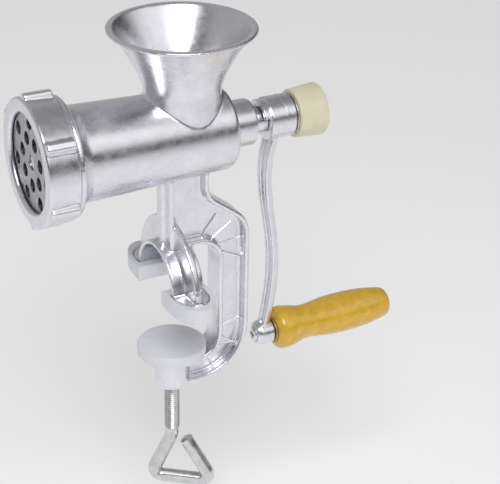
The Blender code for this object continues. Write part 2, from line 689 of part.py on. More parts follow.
def build_plate(material):
    span = (PLATE_FRONT_X, PLATE_REAR_X)
    edge = 0.5 * MM
    profile = [(span[0], 0), (span[0], PLATE_R - edge), (span[0] + edge, PLATE_R),
               (span[1], PLATE_R), (span[1], 0)]
    plate = piece("mincer_plate", turned(profile, "X", (0, AXIS_Z)), material)
    step = 2 * math.pi / PLATE_HOLES_PER_RING
    cutters = [hole_cutter(0, AXIS_Z, STUD_PIN_R + GAP, span, SMALL_ROUND),
               hole_cutter(0, AXIS_Z - PLATE_R, KEY_R + GAP, span)]
    for radius, phase in ((PLATE_INNER_RING_R, PLATE_INNER_PHASE), (PLATE_OUTER_RING_R, PLATE_OUTER_PHASE)):
        for index in range(PLATE_HOLES_PER_RING):
            turn = phase + index * step
            y = radius * math.cos(turn)
            z = AXIS_Z + radius * math.sin(turn)
            cutters.append(hole_cutter(y, z, PLATE_HOLE_R, span))
    combine(plate, "DIFFERENCE", "plate_holes", cutters)


def build_knife(material):
    span = (KNIFE_FRONT_X, KNIFE_REAR_X)
    tip_r = CHAMBER_R - SCREW_CLEARANCE
    outline = []
    quarter = 2 * math.pi / KNIFE_BLADES
    hub_half = math.asin(KNIFE_BLADE_WIDTH / 2 / KNIFE_HUB_R)
    for index in range(KNIFE_BLADES):
        turn = index * quarter
        outward = Vector((math.cos(turn), math.sin(turn)))
        across = Vector((-outward.y, outward.x)) * KNIFE_BLADE_WIDTH / 2
        root = outward * KNIFE_HUB_R * math.cos(hub_half)
        hub_start = math.degrees(turn + hub_half)
        hub_end = math.degrees(turn + quarter - hub_half)
        hub = arc((0, 0), KNIFE_HUB_R, hub_start, hub_end, 3)
        tip = outward * tip_r
        outline += [root - across, tip - across, tip + across * KNIFE_TIP_SHARE, root + across]
        outline += [Vector(point) for point in hub[1:-1]]
    shape = slab([(point.x, AXIS_Z + point.y) for point in outline], "YZ", span[0], span[1])
    knife = piece("cross_knife", shape, material)
    half = STUD_SQUARE / 2 + GAP
    hole = box((span[0] - MM, span[1] + MM), (-half, half), (AXIS_Z - half, AXIS_Z + half))
    combine(knife, "DIFFERENCE", "knife_square", [hole])
    set_origin(knife, (0, 0, AXIS_Z))


def build_stud(material):
    """Stud in the feed screw's nose: round pin, square for the knife, round root."""
    half = STUD_SQUARE / 2
    pin_x = PLATE_FRONT_X + MM
    root_end = SCREW_FRONT_X + STUD_ROOT_LENGTH
    profile = [(pin_x, 0), (pin_x, STUD_PIN_R), (SCREW_FRONT_X, STUD_PIN_R), (SCREW_FRONT_X, STUD_ROOT_R),
               (root_end, STUD_ROOT_R), (root_end, 0)]
    stud = piece("knife_stud", turned(profile, "X", (0, AXIS_Z), SMALL_ROUND), material)
    square = box((KNIFE_FRONT_X, KNIFE_REAR_X), (-half, half), (AXIS_Z - half, AXIS_Z + half))
    combine(stud, "UNION", "stud_square", [square])
    set_origin(stud, (0, 0, AXIS_Z))


# --- Crankshaft ---------------------------------------------------------------------------
def screw_section(x, flight_r, turn):
    """One cross-section of the feed screw: a round core with one broad lobe."""
    ring = []
    half = SCREW_FLIGHT_SPAN / 2
    edge = half * FLIGHT_CREST_SHARE
    angles = [-half, -edge, -edge / 3, edge / 3, edge, half]
    radii = [SCREW_CORE_R, flight_r, flight_r, flight_r, flight_r, SCREW_CORE_R]
    rest = SCREW_SIDES - len(angles)
    for index in range(1, rest + 1):
        angles.append(half + (2 * math.pi - 2 * half) * index / (rest + 1))
        radii.append(SCREW_CORE_R)
    for angle, radius in zip(angles, radii):
        ring.append((x, radius * math.cos(angle + turn), AXIS_Z + radius * math.sin(angle + turn)))
    return ring


def build_screw(material):
    length = SCREW_REAR_X - SCREW_FRONT_X
    count = round(SCREW_STATIONS * length / SCREW_PITCH)
    stations = []
    for index in range(count + 1):
        share = index / count
        x = SCREW_FRONT_X + length * share
        wall = min(CHAMBER_R, bore_r(max(x, BARREL_ROOT_X)))
        flight_r = min(wall, bore_r(x)) - SCREW_CLEARANCE
        lead_in = min(1.0, share * count / LEAD_IN_STATIONS)
        flight = SCREW_CORE_R + (flight_r - SCREW_CORE_R) * max(lead_in, LEAD_IN_LEAST)
        stations.append(screw_section(x, flight, -2 * math.pi * length * share / SCREW_PITCH))
    screw = piece("feed_screw", swept(stations), material, 50)
    shaft_start = SCREW_REAR_X - MM
    round_end = HUB_X - GAP
    shaft = turned([(shaft_start, 0), (shaft_start, SHAFT_R), (round_end, SHAFT_R), (round_end, 0)],
                   "X", (0, AXIS_Z), SMALL_ROUND)
    half = SHAFT_TONGUE / 2
    tongue = box((round_end - MM, TONGUE_END_X), (-half, half), (AXIS_Z - half, AXIS_Z + half))
    combine(screw, "UNION", "screw_shaft", [shaft, tongue])
    stud_end = SCREW_FRONT_X + STUD_ROOT_LENGTH + GAP
    stud_hole = hole_cutter(0, AXIS_Z, STUD_ROOT_R + GAP, (SCREW_FRONT_X, stud_end - MM), SMALL_ROUND)
    thread_start = HUB_END_X - THUMB_STUD_REACH
    thread_hole = hole_cutter(0, AXIS_Z, THUMB_STUD_R + GAP, (thread_start, TONGUE_END_X), SMALL_ROUND)
    combine(screw, "DIFFERENCE", "screw_holes", [stud_hole, thread_hole])
    set_origin(screw, (0, 0, AXIS_Z))


def build_thrust_washer(material):
    inner = SHAFT_R + GAP
    end = THRUST_X + THRUST_WASHER
    profile = [(THRUST_X, inner), (THRUST_X, THRUST_WASHER_R), (end, THRUST_WASHER_R), (end, inner)]
    washer = piece("thrust_washer", turned(profile, "X", (0, AXIS_Z), SMALL_ROUND), material)
    set_origin(washer, (0, 0, AXIS_Z))


def arm_middle(share):
    """Middle of the crank arm in X and Z, from the hub (0) to the eye (1)."""
    start = Vector((HUB_X + HUB_LENGTH / 2, AXIS_Z - HUB_R / 2))
    end = Vector((EYE_X + EYE_LENGTH / 2, GRIP_AXIS_Z))
    point = start.lerp(end, share)
    bow = ARM_BOW * math.sin(2 * math.pi * share ** ARM_BOW_SKEW) * (1 - ARM_BOW_FADE * share)
    return point - Vector((bow, 0))


def arm_stations():
    """A bar with a shallow groove down its face towards the barrel."""
    stations = []
    for index in range(ARM_STATIONS + 1):
        share = index / ARM_STATIONS
        middle = arm_middle(share)
        ahead = arm_middle(min(share + ARM_SLOPE_STEP, 1.0))
        behind = arm_middle(max(share - ARM_SLOPE_STEP, 0.0))
        along = (ahead - behind).normalized()
        out = Vector((-along.y, along.x))
        if out.x < 0:
            out = -out
        half = (ARM_TOP_WIDTH + (ARM_FOOT_WIDTH - ARM_TOP_WIDTH) * share) / 2
        groove = half * ARM_GROOVE_SHARE
        floor = groove * ARM_GROOVE_FLOOR
        front = -ARM_THICKNESS / 2
        section = [(front + MM, -half), (front, -half + MM), (front, -groove), (front + ARM_GROOVE, -floor),
                   (front + ARM_GROOVE, floor), (front, groove), (front, half - MM), (front + MM, half),
                   (-front - MM, half), (-front, half - 2 * MM), (-front, -half + 2 * MM), (-front - MM, -half)]
        ring = []
        for depth, across in section:
            spot = middle + out * depth
            ring.append((spot.x, across, spot.y))
        stations.append(ring)
    return stations


def build_crank(material):
    edge = HUB_EDGE
    hub = [(HUB_X, 0), (HUB_X, HUB_R - edge), (HUB_X + edge, HUB_R), (HUB_END_X - edge, HUB_R),
           (HUB_END_X, HUB_R - edge), (HUB_END_X, 0)]
    crank = piece("crank_arm", turned(hub, "X", (0, AXIS_Z), 36), material, 35)
    lip_start, lip_end = HUB_LIP_SPAN
    lip = arc((0, AXIS_Z), HUB_R - edge, lip_start, lip_end, 12)
    lip += arc((0, AXIS_Z), SHAFT_R + HUB_LIP_ROOM, lip_end, lip_start, 12)
    nose = EYE_EDGE
    eye = [(EYE_X, 0), (EYE_X, EYE_NOSE_R), (EYE_X + 2 * nose, EYE_R), (EYE_END_X - nose / 2, EYE_R),
           (EYE_END_X, EYE_R - nose / 2), (EYE_END_X, 0)]
    combine(crank, "UNION", "crank_solids", [
        slab(lip, "YZ", HUB_X - HUB_LIP, HUB_X + edge),
        swept(arm_stations()),
        turned(eye, "X", (0, GRIP_AXIS_Z), SMALL_ROUND),
    ])
    half = SHAFT_TONGUE / 2 + GAP
    seat = box((HUB_X - MM, TONGUE_END_X + GAP), (-half, half), (AXIS_Z - half, AXIS_Z + half))
    stud_hole = hole_cutter(0, AXIS_Z, THUMB_STUD_R + GAP, (HUB_END_X - 3 * MM, HUB_END_X), SMALL_ROUND)
    eye_hole = hole_cutter(0, GRIP_AXIS_Z, AXLE_R + GAP, (EYE_X, EYE_END_X), SMALL_ROUND)
    recess = hole_cutter(0, GRIP_AXIS_Z, AXLE_HEAD_R + GAP, (EYE_X, EYE_X + AXLE_RECESS - MM), SMALL_ROUND)
    combine(crank, "DIFFERENCE", "crank_cuts", [seat, stud_hole, eye_hole, recess])
    set_origin(crank, (0, 0, AXIS_Z))


def build_thumb_screw(knob_material, steel):
    bore = THUMB_STUD_R + GAP
    washer_end = THUMB_WASHER_X + THUMB_WASHER
    profile = [(THUMB_WASHER_X, bore), (THUMB_WASHER_X, HUB_R), (washer_end, HUB_R), (washer_end, bore)]
    washer = piece("thumb_washer", turned(profile, "X", (0, AXIS_Z), SMALL_ROUND), steel)
    knob_end = KNOB_X + THUMB_KNOB_LENGTH
    insert = THUMB_KNOB_LENGTH * THUMB_INSERT_SHARE
    edge = THUMB_KNOB_EDGE
    body = [(KNOB_X, bore), (KNOB_X, THUMB_KNOB_ROOT_R - edge / 2), (KNOB_X + edge / 2, THUMB_KNOB_ROOT_R),
            (knob_end - edge, THUMB_KNOB_R), (knob_end, THUMB_KNOB_R - edge), (knob_end + THUMB_KNOB_CROWN, 0),
            (KNOB_X + insert + GAP, 0), (KNOB_X + insert + GAP, bore)]
    shape = turned(body, "X", (0, AXIS_Z), 36)
    knob = piece("thumb_knob", shape, knob_material, 35)
    start = HUB_END_X - THUMB_STUD_REACH
    end = KNOB_X + insert
    stud = piece("thumb_stud", turned([(start, 0), (start, THUMB_STUD_R), (end, THUMB_STUD_R), (end, 0)],
                                      "X", (0, AXIS_Z), SMALL_ROUND), steel)
    for obj in (washer, knob, stud):
        set_origin(obj, (0, 0, AXIS_Z))


# --- Grip ---------------------------------------------------------------------------------
def grip_profile():
    """Outer curve of the wooden grip: bulb, neck, swell and rounded end."""
    marks = [(0.0, 0.72 * GRIP_BULB_R), (0.02, 0.92 * GRIP_BULB_R), (0.07, GRIP_BULB_R),
             (0.14, 0.95 * GRIP_BULB_R), (0.26, GRIP_NECK_R), (0.50, GRIP_SWELL_R),
             (0.75, 0.98 * GRIP_SWELL_R), (0.93, GRIP_END_R), (0.985, 0.87 * GRIP_END_R),
             (1.0, 0.72 * GRIP_END_R)]
    return [(GRIP_X + share * GRIP_LENGTH, radius) for share, radius in marks]


def build_grip(wood, steel, brass):
    bore = AXLE_R + GAP
    pocket_x = GRIP_END_X - END_POCKET
    outer = grip_profile()
    profile = [(GRIP_X, bore), *outer, (GRIP_END_X, END_POCKET_R), (pocket_x, END_POCKET_R), (pocket_x, bore)]
    grip = piece("grip_handle", turned(profile, "X", (0, GRIP_AXIS_Z), 32), wood, 60)
    ferrule_end = FERRULE_X + FERRULE
    ring = [(FERRULE_X, bore), (FERRULE_X, FERRULE_R), (ferrule_end, FERRULE_R), (ferrule_end, bore)]
    ferrule = piece("grip_washer", turned(ring, "X", (0, GRIP_AXIS_Z), SMALL_ROUND), brass)
    head_end = EYE_X + AXLE_RECESS - GAP
    head_x = head_end - AXLE_HEAD
    axle_end = GRIP_END_X - MM
    edge = AXLE_EDGE
    rod = [(head_x, 0), (head_x, AXLE_HEAD_R - edge), (head_x + edge, AXLE_HEAD_R), (head_end, AXLE_HEAD_R),
           (head_end, AXLE_R), (axle_end, AXLE_R), (axle_end, 0)]
    axle = piece("grip_axle", turned(rod, "X", (0, GRIP_AXIS_Z), SMALL_ROUND), steel)
    cross_span = (head_x - MM, head_x + CROSS_DEPTH)
    slots = [box(cross_span, (-w / 2, w / 2), (GRIP_AXIS_Z - h / 2, GRIP_AXIS_Z + h / 2))
             for w, h in ((CROSS_LENGTH, CROSS_WIDTH), (CROSS_WIDTH, CROSS_LENGTH))]
    combine(axle, "DIFFERENCE", "axle_cross", slots)
    washer_x = pocket_x + GAP
    washer_end = washer_x + END_WASHER
    flat = [(washer_x, bore), (washer_x, END_WASHER_R), (washer_end, END_WASHER_R), (washer_end, bore)]
    washer = piece("grip_end_washer", turned(flat, "X", (0, GRIP_AXIS_Z), SMALL_ROUND), steel)
    nut_x = washer_end + GAP
    nut_end = nut_x + END_NUT
    nut_r = END_NUT_ACROSS / math.sqrt(3)
    nut = piece("grip_end_nut", turned([(nut_x, 0), (nut_x, nut_r), (nut_end, nut_r), (nut_end, 0)],
                                       "X", (0, GRIP_AXIS_Z), 6), steel)
    combine(nut, "DIFFERENCE", "nut_bore", [hole_cutter(0, GRIP_AXIS_Z, bore, (nut_x, nut_end), SMALL_ROUND)])
    for obj in (grip, ferrule, axle, washer, nut):
        set_origin(obj, (0, 0, GRIP_AXIS_Z))


# --- Table clamp ----------------------------------------------------------------------------
def build_pad(plastic, steel):
    edge = PAD_EDGE
    pocket_r = RETAINER_R + 3 * GAP
    pocket_top = TIP_TOP + GAP
    inner = PAD_R - PAD_SKIRT
    profile = [(PAD_TOP, 0), (PAD_TOP, PAD_R - edge), (PAD_TOP - edge, PAD_R), (PAD_BOTTOM, PAD_R),
               (PAD_BOTTOM, inner), (DISC_TOP + GAP, inner), (DISC_TOP + GAP, pocket_r),
               (pocket_top, pocket_r), (pocket_top, 0)]
    piece("pad_cover", turned(profile, "Z", (0, 0), 40), plastic, 35)
    disc = [(DISC_BOTTOM, DISC_HOLE_R), (DISC_BOTTOM, DISC_R), (DISC_TOP, DISC_R), (DISC_TOP, DISC_HOLE_R)]
    piece("pad_disc", turned(disc, "Z", (0, 0), 32), steel)


def build_retainer(steel):
    bore = CLAMP_TIP_R + GAP
    top = RETAINER_BOTTOM + RETAINER
    profile = [(RETAINER_BOTTOM, bore), (RETAINER_BOTTOM, RETAINER_R), (top, RETAINER_R), (top, bore)]
    piece("pad_retainer", turned(profile, "Z", (0, 0), SMALL_ROUND), steel)


def handle_path():
    """Centreline of the bent handle in its own plane: reach from the screw axis, and Z."""
    end_reach, end_drop = HANDLE_END
    return rounded([
        (0, THREAD_END_Z, 0),
        (0, THREAD_END_Z - HANDLE_NECK, HANDLE_NECK_R),
        (-HANDLE_LEFT, HANDLE_BAR_Z, HANDLE_LEFT_R),
        (HANDLE_RIGHT, HANDLE_BAR_Z, HANDLE_RIGHT_R),
        (end_reach, THREAD_END_Z - end_drop, 0),
    ], 5)


def rod_ring(reach, z, along, radius, sides=16):
    """Ring of points round the rod, square to its direction in the handle's plane."""
    plane = Vector((math.cos(HANDLE_TURN), math.sin(HANDLE_TURN), 0))
    up = Vector((0, 0, 1))
    middle = plane * reach + up * z
    side = plane * -along.y + up * along.x
    out = plane.cross(up)
    return [middle + (side * math.cos(a) + out * math.sin(a)) * radius
            for a in (2 * math.pi * step / sides for step in range(sides))]


def build_clamp_screw(steel):
    down = Vector((0, -1))
    edge = CLAMP_TIP_EDGE
    straight = [(TIP_TOP, CLAMP_TIP_R - edge), (TIP_TOP - edge, CLAMP_TIP_R), (CLAMP_SHOULDER_Z, CLAMP_TIP_R),
                (CLAMP_SHOULDER_Z, CLAMP_THREAD_R), (THREAD_END_Z + MM, CLAMP_THREAD_R)]
    stations = [rod_ring(0, z, down, radius) for z, radius in straight]
    path = handle_path()
    for index, (reach, z) in enumerate(path):
        before = Vector(path[max(index - 1, 0)])
        after = Vector(path[min(index + 1, len(path) - 1)])
        stations.append(rod_ring(reach, z, (after - before).normalized(), CLAMP_ROD_R))
    piece("clamp_screw", swept(stations), steel, 45)


def build_all():
    clear_scene()
    aluminium = finish_of("cast_aluminium", (0.74, 0.74, 0.78), 0.34, 1.0)
    ground_steel = finish_of("ground_steel", (0.34, 0.34, 0.36), 0.38, 1.0)
    zinc = finish_of("zinc_plated_steel", (0.62, 0.62, 0.60), 0.32, 1.0)
    white = finish_of("white_plastic", (0.88, 0.89, 0.93), 0.45, 0.0)
    ivory = finish_of("ivory_plastic", (0.86, 0.81, 0.66), 0.40, 0.0)
    yellow = finish_of("yellow_lacquered_wood", (0.80, 0.52, 0.08), 0.25, 0.0)
    brass = finish_of("dull_brass", (0.50, 0.40, 0.20), 0.45, 1.0)
    nylon = finish_of("nylon", (0.80, 0.78, 0.72), 0.50, 0.0)
    build_casting(aluminium)
    build_key_pin(zinc)
    build_bush(nylon)
    build_shoe("jaw_shoe_near", -1, white)
    build_shoe("jaw_shoe_far", 1, white)
    build_ring_nut(aluminium)
    build_plate(ground_steel)
    build_knife(ground_steel)
    build_stud(zinc)
    build_screw(aluminium)
    build_thrust_washer(nylon)
    build_crank(aluminium)
    build_thumb_screw(ivory, zinc)
    build_grip(yellow, zinc, brass)
    build_pad(white, zinc)
    build_retainer(zinc)
    build_clamp_screw(zinc)


build_all()
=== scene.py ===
import json
import math

import bmesh
import bpy
from mathutils import Matrix, Vector

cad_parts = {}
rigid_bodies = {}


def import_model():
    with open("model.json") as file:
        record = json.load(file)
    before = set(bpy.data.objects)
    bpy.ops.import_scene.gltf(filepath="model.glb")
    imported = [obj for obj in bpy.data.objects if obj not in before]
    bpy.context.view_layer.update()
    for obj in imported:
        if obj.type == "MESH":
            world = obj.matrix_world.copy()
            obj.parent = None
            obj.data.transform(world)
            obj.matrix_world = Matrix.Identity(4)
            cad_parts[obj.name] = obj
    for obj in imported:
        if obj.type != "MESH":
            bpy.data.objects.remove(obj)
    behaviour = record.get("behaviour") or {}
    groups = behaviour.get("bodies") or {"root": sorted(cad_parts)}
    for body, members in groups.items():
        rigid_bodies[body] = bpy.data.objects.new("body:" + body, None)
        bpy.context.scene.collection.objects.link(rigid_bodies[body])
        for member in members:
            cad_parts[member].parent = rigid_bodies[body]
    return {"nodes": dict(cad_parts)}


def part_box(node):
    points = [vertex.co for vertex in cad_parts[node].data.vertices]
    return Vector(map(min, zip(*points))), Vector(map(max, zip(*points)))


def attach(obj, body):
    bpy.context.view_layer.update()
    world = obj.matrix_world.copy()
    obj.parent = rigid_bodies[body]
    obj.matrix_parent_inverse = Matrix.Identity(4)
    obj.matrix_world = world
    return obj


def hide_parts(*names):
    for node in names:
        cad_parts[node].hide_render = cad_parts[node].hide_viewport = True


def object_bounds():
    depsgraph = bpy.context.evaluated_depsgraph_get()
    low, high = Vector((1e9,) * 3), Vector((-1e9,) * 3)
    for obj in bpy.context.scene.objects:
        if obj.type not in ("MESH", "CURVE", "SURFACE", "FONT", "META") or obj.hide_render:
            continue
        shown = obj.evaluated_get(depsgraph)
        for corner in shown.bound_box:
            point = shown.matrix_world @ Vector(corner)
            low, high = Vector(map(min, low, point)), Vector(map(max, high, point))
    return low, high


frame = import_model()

# Hand crank meat grinder: fine surfaces and finishes round the fixed model.
# Shapes are worked in millimetres and made metres when a piece is settled.

cadLow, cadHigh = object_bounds()
mm = 0.001
gap = 0.3          # between faces that touch or run on each other


def span(node):    # lowest and highest corner of a fixed part, in millimetres
    low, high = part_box(node)
    return low / mm, high / mm


def middle(node):
    low, high = span(node)
    return (low + high) / 2


axisZ = middle("thumb_washer").z      # barrel, screw and crank turn about this height
gripZ = middle("grip_washer").z
lowestZ = cadLow.z / mm


# Shape tools

def toWorld(axis, centre, along, across, up):
    if axis == "X":
        return Vector((along, centre[0] + across, centre[1] + up))
    return Vector((centre[0] + across, centre[1] + up, along))


def softened(corners, closed=False, steps=5):    # (u, v, radius) corners, rounded where a radius is given
    path = []
    for index, corner in enumerate(corners):
        here = Vector(corner[:2])
        radius = corner[2] if len(corner) > 2 else 0
        if radius == 0 or (not closed and index in (0, len(corners) - 1)):
            path.append(tuple(here))
            continue
        back = (Vector(corners[index - 1][:2]) - here).normalized()
        ahead = (Vector(corners[(index + 1) % len(corners)][:2]) - here).normalized()
        half = back.angle(ahead) / 2
        centre = here + (back + ahead).normalized() * radius / math.sin(half)
        first = here + back * radius / math.tan(half) - centre
        turn = (math.pi - 2 * half) * (1 if back.cross(ahead) < 0 else -1)
        path += [tuple(centre + Matrix.Rotation(turn * step / steps,
                                                2) @ first) for step in range(steps + 1)]
    return path


def turned(profile, axis, centre, sides=128):    # a profile off the axis closes on itself
    shape = bmesh.new()
    rings = []
    for along, radius in profile:
        onAxis = radius < 1e-6
        turns = [2 * math.pi * step / sides for step in range(1 if onAxis else sides)]
        rings.append([shape.verts.new(toWorld(axis, centre, along, radius * math.cos(a),
                                              radius * math.sin(a)))
                      for a in turns])
    pairs = list(zip(rings, rings[1:]))
    if len(rings[0]) > 1 and len(rings[-1]) > 1:
        pairs.append((rings[-1], rings[0]))
    for low, high in pairs:
        for step in range(sides):
            after = (step + 1) % sides
            corners = [low[step % len(low)], low[after % len(low)], high[after % len(high)],
                       high[step % len(high)]]
            corners = list(dict.fromkeys(corners))
            if len(corners) > 2:
                shape.faces.new(corners)
    return shape


def slab(outline, plane, low, high):    # a closed outline pulled out across its plane
    place = {"XZ": lambda u, v, d: (u, d, v), "YZ": lambda u, v, d: (d, u, v), "XY": lambda u, v,
             d: (u, v, d)}[plane]
    shape = bmesh.new()
    near = [shape.verts.new(place(u, v, low)) for u, v in outline]
    far = [shape.verts.new(place(u, v, high)) for u, v in outline]
    shape.faces.new(near)
    shape.faces.new(far[::-1])
    for step in range(len(outline)):
        after = (step + 1) % len(outline)
        shape.faces.new([near[step], far[step], far[after], near[after]])
    return shape


def block(xs, ys, zs):
    return slab([(xs[0], ys[0]), (xs[1], ys[0]), (xs[1], ys[1]), (xs[0], ys[1])], "XY", zs[0], zs[1])


def swept(stations):    # closed rings of points joined one after the other, both ends capped
    shape = bmesh.new()
    rings = [[shape.verts.new(point) for point in ring] for ring in stations]
    for low, high in zip(rings, rings[1:]):
        for step in range(len(low)):
            after = (step + 1) % len(low)
            shape.faces.new([low[step], low[after], high[after], high[step]])
    shape.faces.new(rings[0][::-1])
    shape.faces.new(rings[-1])
    return shape


def arc(centre, radius, start, end, steps):
    turns = [math.radians(start + (end - start) * step / steps) for step in range(steps + 1)]
    return [(centre[0] + radius * math.cos(a), centre[1] + radius * math.sin(a)) for a in turns]


def offset(path, distance):
    moved = []
    for step, point in enumerate(path):
        along = Vector(path[min(step + 1, len(path) - 1)]) - Vector(path[max(step - 1, 0)])
        along.normalize()
        moved.append((point[0] - along.y * distance, point[1] + along.x * distance))
    return moved


def smoothThrough(marks, count):    # an even curve through (place, size) marks
    points = []
    for index in range(count + 1):
        t = marks[0][0] + (marks[-1][0] - marks[0][0]) * index / count
        at = max(i for i in range(len(marks) - 1) if marks[i][0] <= t + 1e-9)
        (x0, y0), (x1, y1) = marks[at], marks[at + 1]
        before, after = marks[max(at - 1, 0)], marks[min(at + 2, len(marks) - 1)]
        slope0 = (y1 - before[1]) / (x1 - before[0]) * (x1 - x0)
        slope1 = (after[1] - y0) / (after[0] - x0) * (x1 - x0)
        s = (t - x0) / (x1 - x0)
        y = ((2 * s ** 3 - 3 * s ** 2 + 1) * y0 + (s ** 3 - 2 * s ** 2 + s) * slope0
             + (3 * s ** 2 - 2 * s ** 3) * y1 + (s ** 3 - s ** 2) * slope1)
        points.append((t, y))
    return points


# Mesh work

def plainMesh(name, shape):
    bmesh.ops.recalc_face_normals(shape, faces=shape.faces)
    mesh = bpy.data.meshes.new(name)
    shape.to_mesh(mesh)
    shape.free()
    return mesh


def workObject(name, mesh):
    obj = bpy.data.objects.new(name, mesh)
    bpy.context.scene.collection.objects.link(obj)
    return obj


def evaluated(obj):    # the object's mesh with its modifiers in it; the object itself is used up
    bpy.context.view_layer.update()
    mesh = bpy.data.meshes.new_from_object(obj.evaluated_get(bpy.context.evaluated_depsgraph_get()))
    bpy.data.objects.remove(obj)
    return mesh


def worked(mesh, *steps):    # each step is a modifier's kind and its settings
    obj = workObject("work", mesh)
    for kind, settings in steps:
        modifier = obj.modifiers.new(kind, kind)
        for key, value in settings.items():
            setattr(modifier, key, value)
    return evaluated(obj)


def combined(mesh, operation, shapes):
    helpers = bpy.data.collections.new("helpers")
    bpy.context.scene.collection.children.link(helpers)
    for shape in shapes:
        helper = bpy.data.objects.new("helper", plainMesh("helper", shape))
        helpers.objects.link(helper)
    result = worked(mesh, ("BOOLEAN", {"operation": operation, "operand_type": "COLLECTION",
                                       "collection": helpers, "solver": "EXACT"}))
    for helper in list(helpers.objects):
        bpy.data.objects.remove(helper)
    bpy.data.collections.remove(helpers)
    return result


def castSkin(mesh, voxel, rounds, most):    # one even skin with softly rounded edges and inner corners
    skin = worked(mesh, ("REMESH", {"mode": "VOXEL", "voxel_size": voxel}),
                  ("SMOOTH", {"factor": 0.5, "iterations": rounds}))
    triangles = 2 * len(skin.polygons)
    if triangles > most:
        skin = worked(skin, ("DECIMATE", {"ratio": most / triangles}))
    return skin


def settle(name, mesh, finish, body, nodes=(), sharp=35):
    if isinstance(mesh, bmesh.types.BMesh):
        mesh = plainMesh(name, mesh)
    mesh.name = name
    mesh.transform(Matrix.Scale(mm, 4))
    mesh.materials.clear()
    mesh.materials.append(finish)
    mesh.shade_smooth()
    mesh.set_sharp_from_angle(angle=math.radians(sharp))
    piece = workObject(name, mesh)
    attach(piece, body)
    if nodes:
        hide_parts(*nodes)
    return piece


# Node tools

def newTree(name, sizes):
    tree = bpy.data.node_groups.new(name, "GeometryNodeTree")
    tree.interface.new_socket("Geometry", in_out="INPUT", socket_type="NodeSocketGeometry")
    for label, kind in sizes:
        tree.interface.new_socket(label, in_out="INPUT", socket_type="NodeSocket" + kind)
    tree.interface.new_socket("Geometry", in_out="OUTPUT", socket_type="NodeSocketGeometry")
    return tree, tree.nodes.new("NodeGroupInput").outputs


def put(tree, kind, links=(), **settings):    # links are (input, value or socket) pairs
    node = tree.nodes.new(kind)
    for key, value in settings.items():
        setattr(node, key, value)
    for key, value in dict(links).items():
        if isinstance(value, bpy.types.NodeSocket):
            tree.links.new(value, node.inputs[key])
        else:
            node.inputs[key].default_value = value
    return node.outputs


def calc(tree, operation, *values):
    return put(tree, "ShaderNodeMath", list(enumerate(values)), operation=operation)[0]


def endTree(tree, geometry, finish):
    real = put(tree, "GeometryNodeRealizeInstances", [(0, geometry)])[0]
    done = put(tree, "GeometryNodeSetMaterial", [("Geometry", real), ("Material", finish)])[0]
    put(tree, "NodeGroupOutput", [(0, done)])


def grown(mesh, tree, values):    # a tree run on a mesh, back as a plain mesh
    obj = workObject("grown", mesh)
    modifier = obj.modifiers.new("grow", "NODES")
    modifier.node_group = tree
    for item in tree.interface.items_tree:
        if item.item_type == "SOCKET" and item.in_out == "INPUT" and item.name in values:
            modifier[item.identifier] = values[item.name]
    return evaluated(obj)


def aroundX(tree, tool, count, phase, reach):    # a tool set out on a circle about the X axis
    moved = put(tree, "ShaderNodeCombineXYZ", [(1, reach)])[0]
    outward = put(tree, "GeometryNodeTransform", [("Geometry", tool), ("Translation", moved)])[0]
    spots = put(tree, "GeometryNodePoints", [("Count", count)])[0]
    step = calc(tree, "DIVIDE", 2 * math.pi, count)
    turn = calc(tree, "ADD", calc(tree, "MULTIPLY", put(tree, "GeometryNodeInputIndex")[0], step), phase)
    swing = put(tree, "ShaderNodeCombineXYZ", [(0, turn)])[0]
    return put(tree, "GeometryNodeInstanceOnPoints",
               [("Points", spots), ("Instance", outward), ("Rotation", swing)])[0]


# Finishes. Sizes in each look are millimetres.

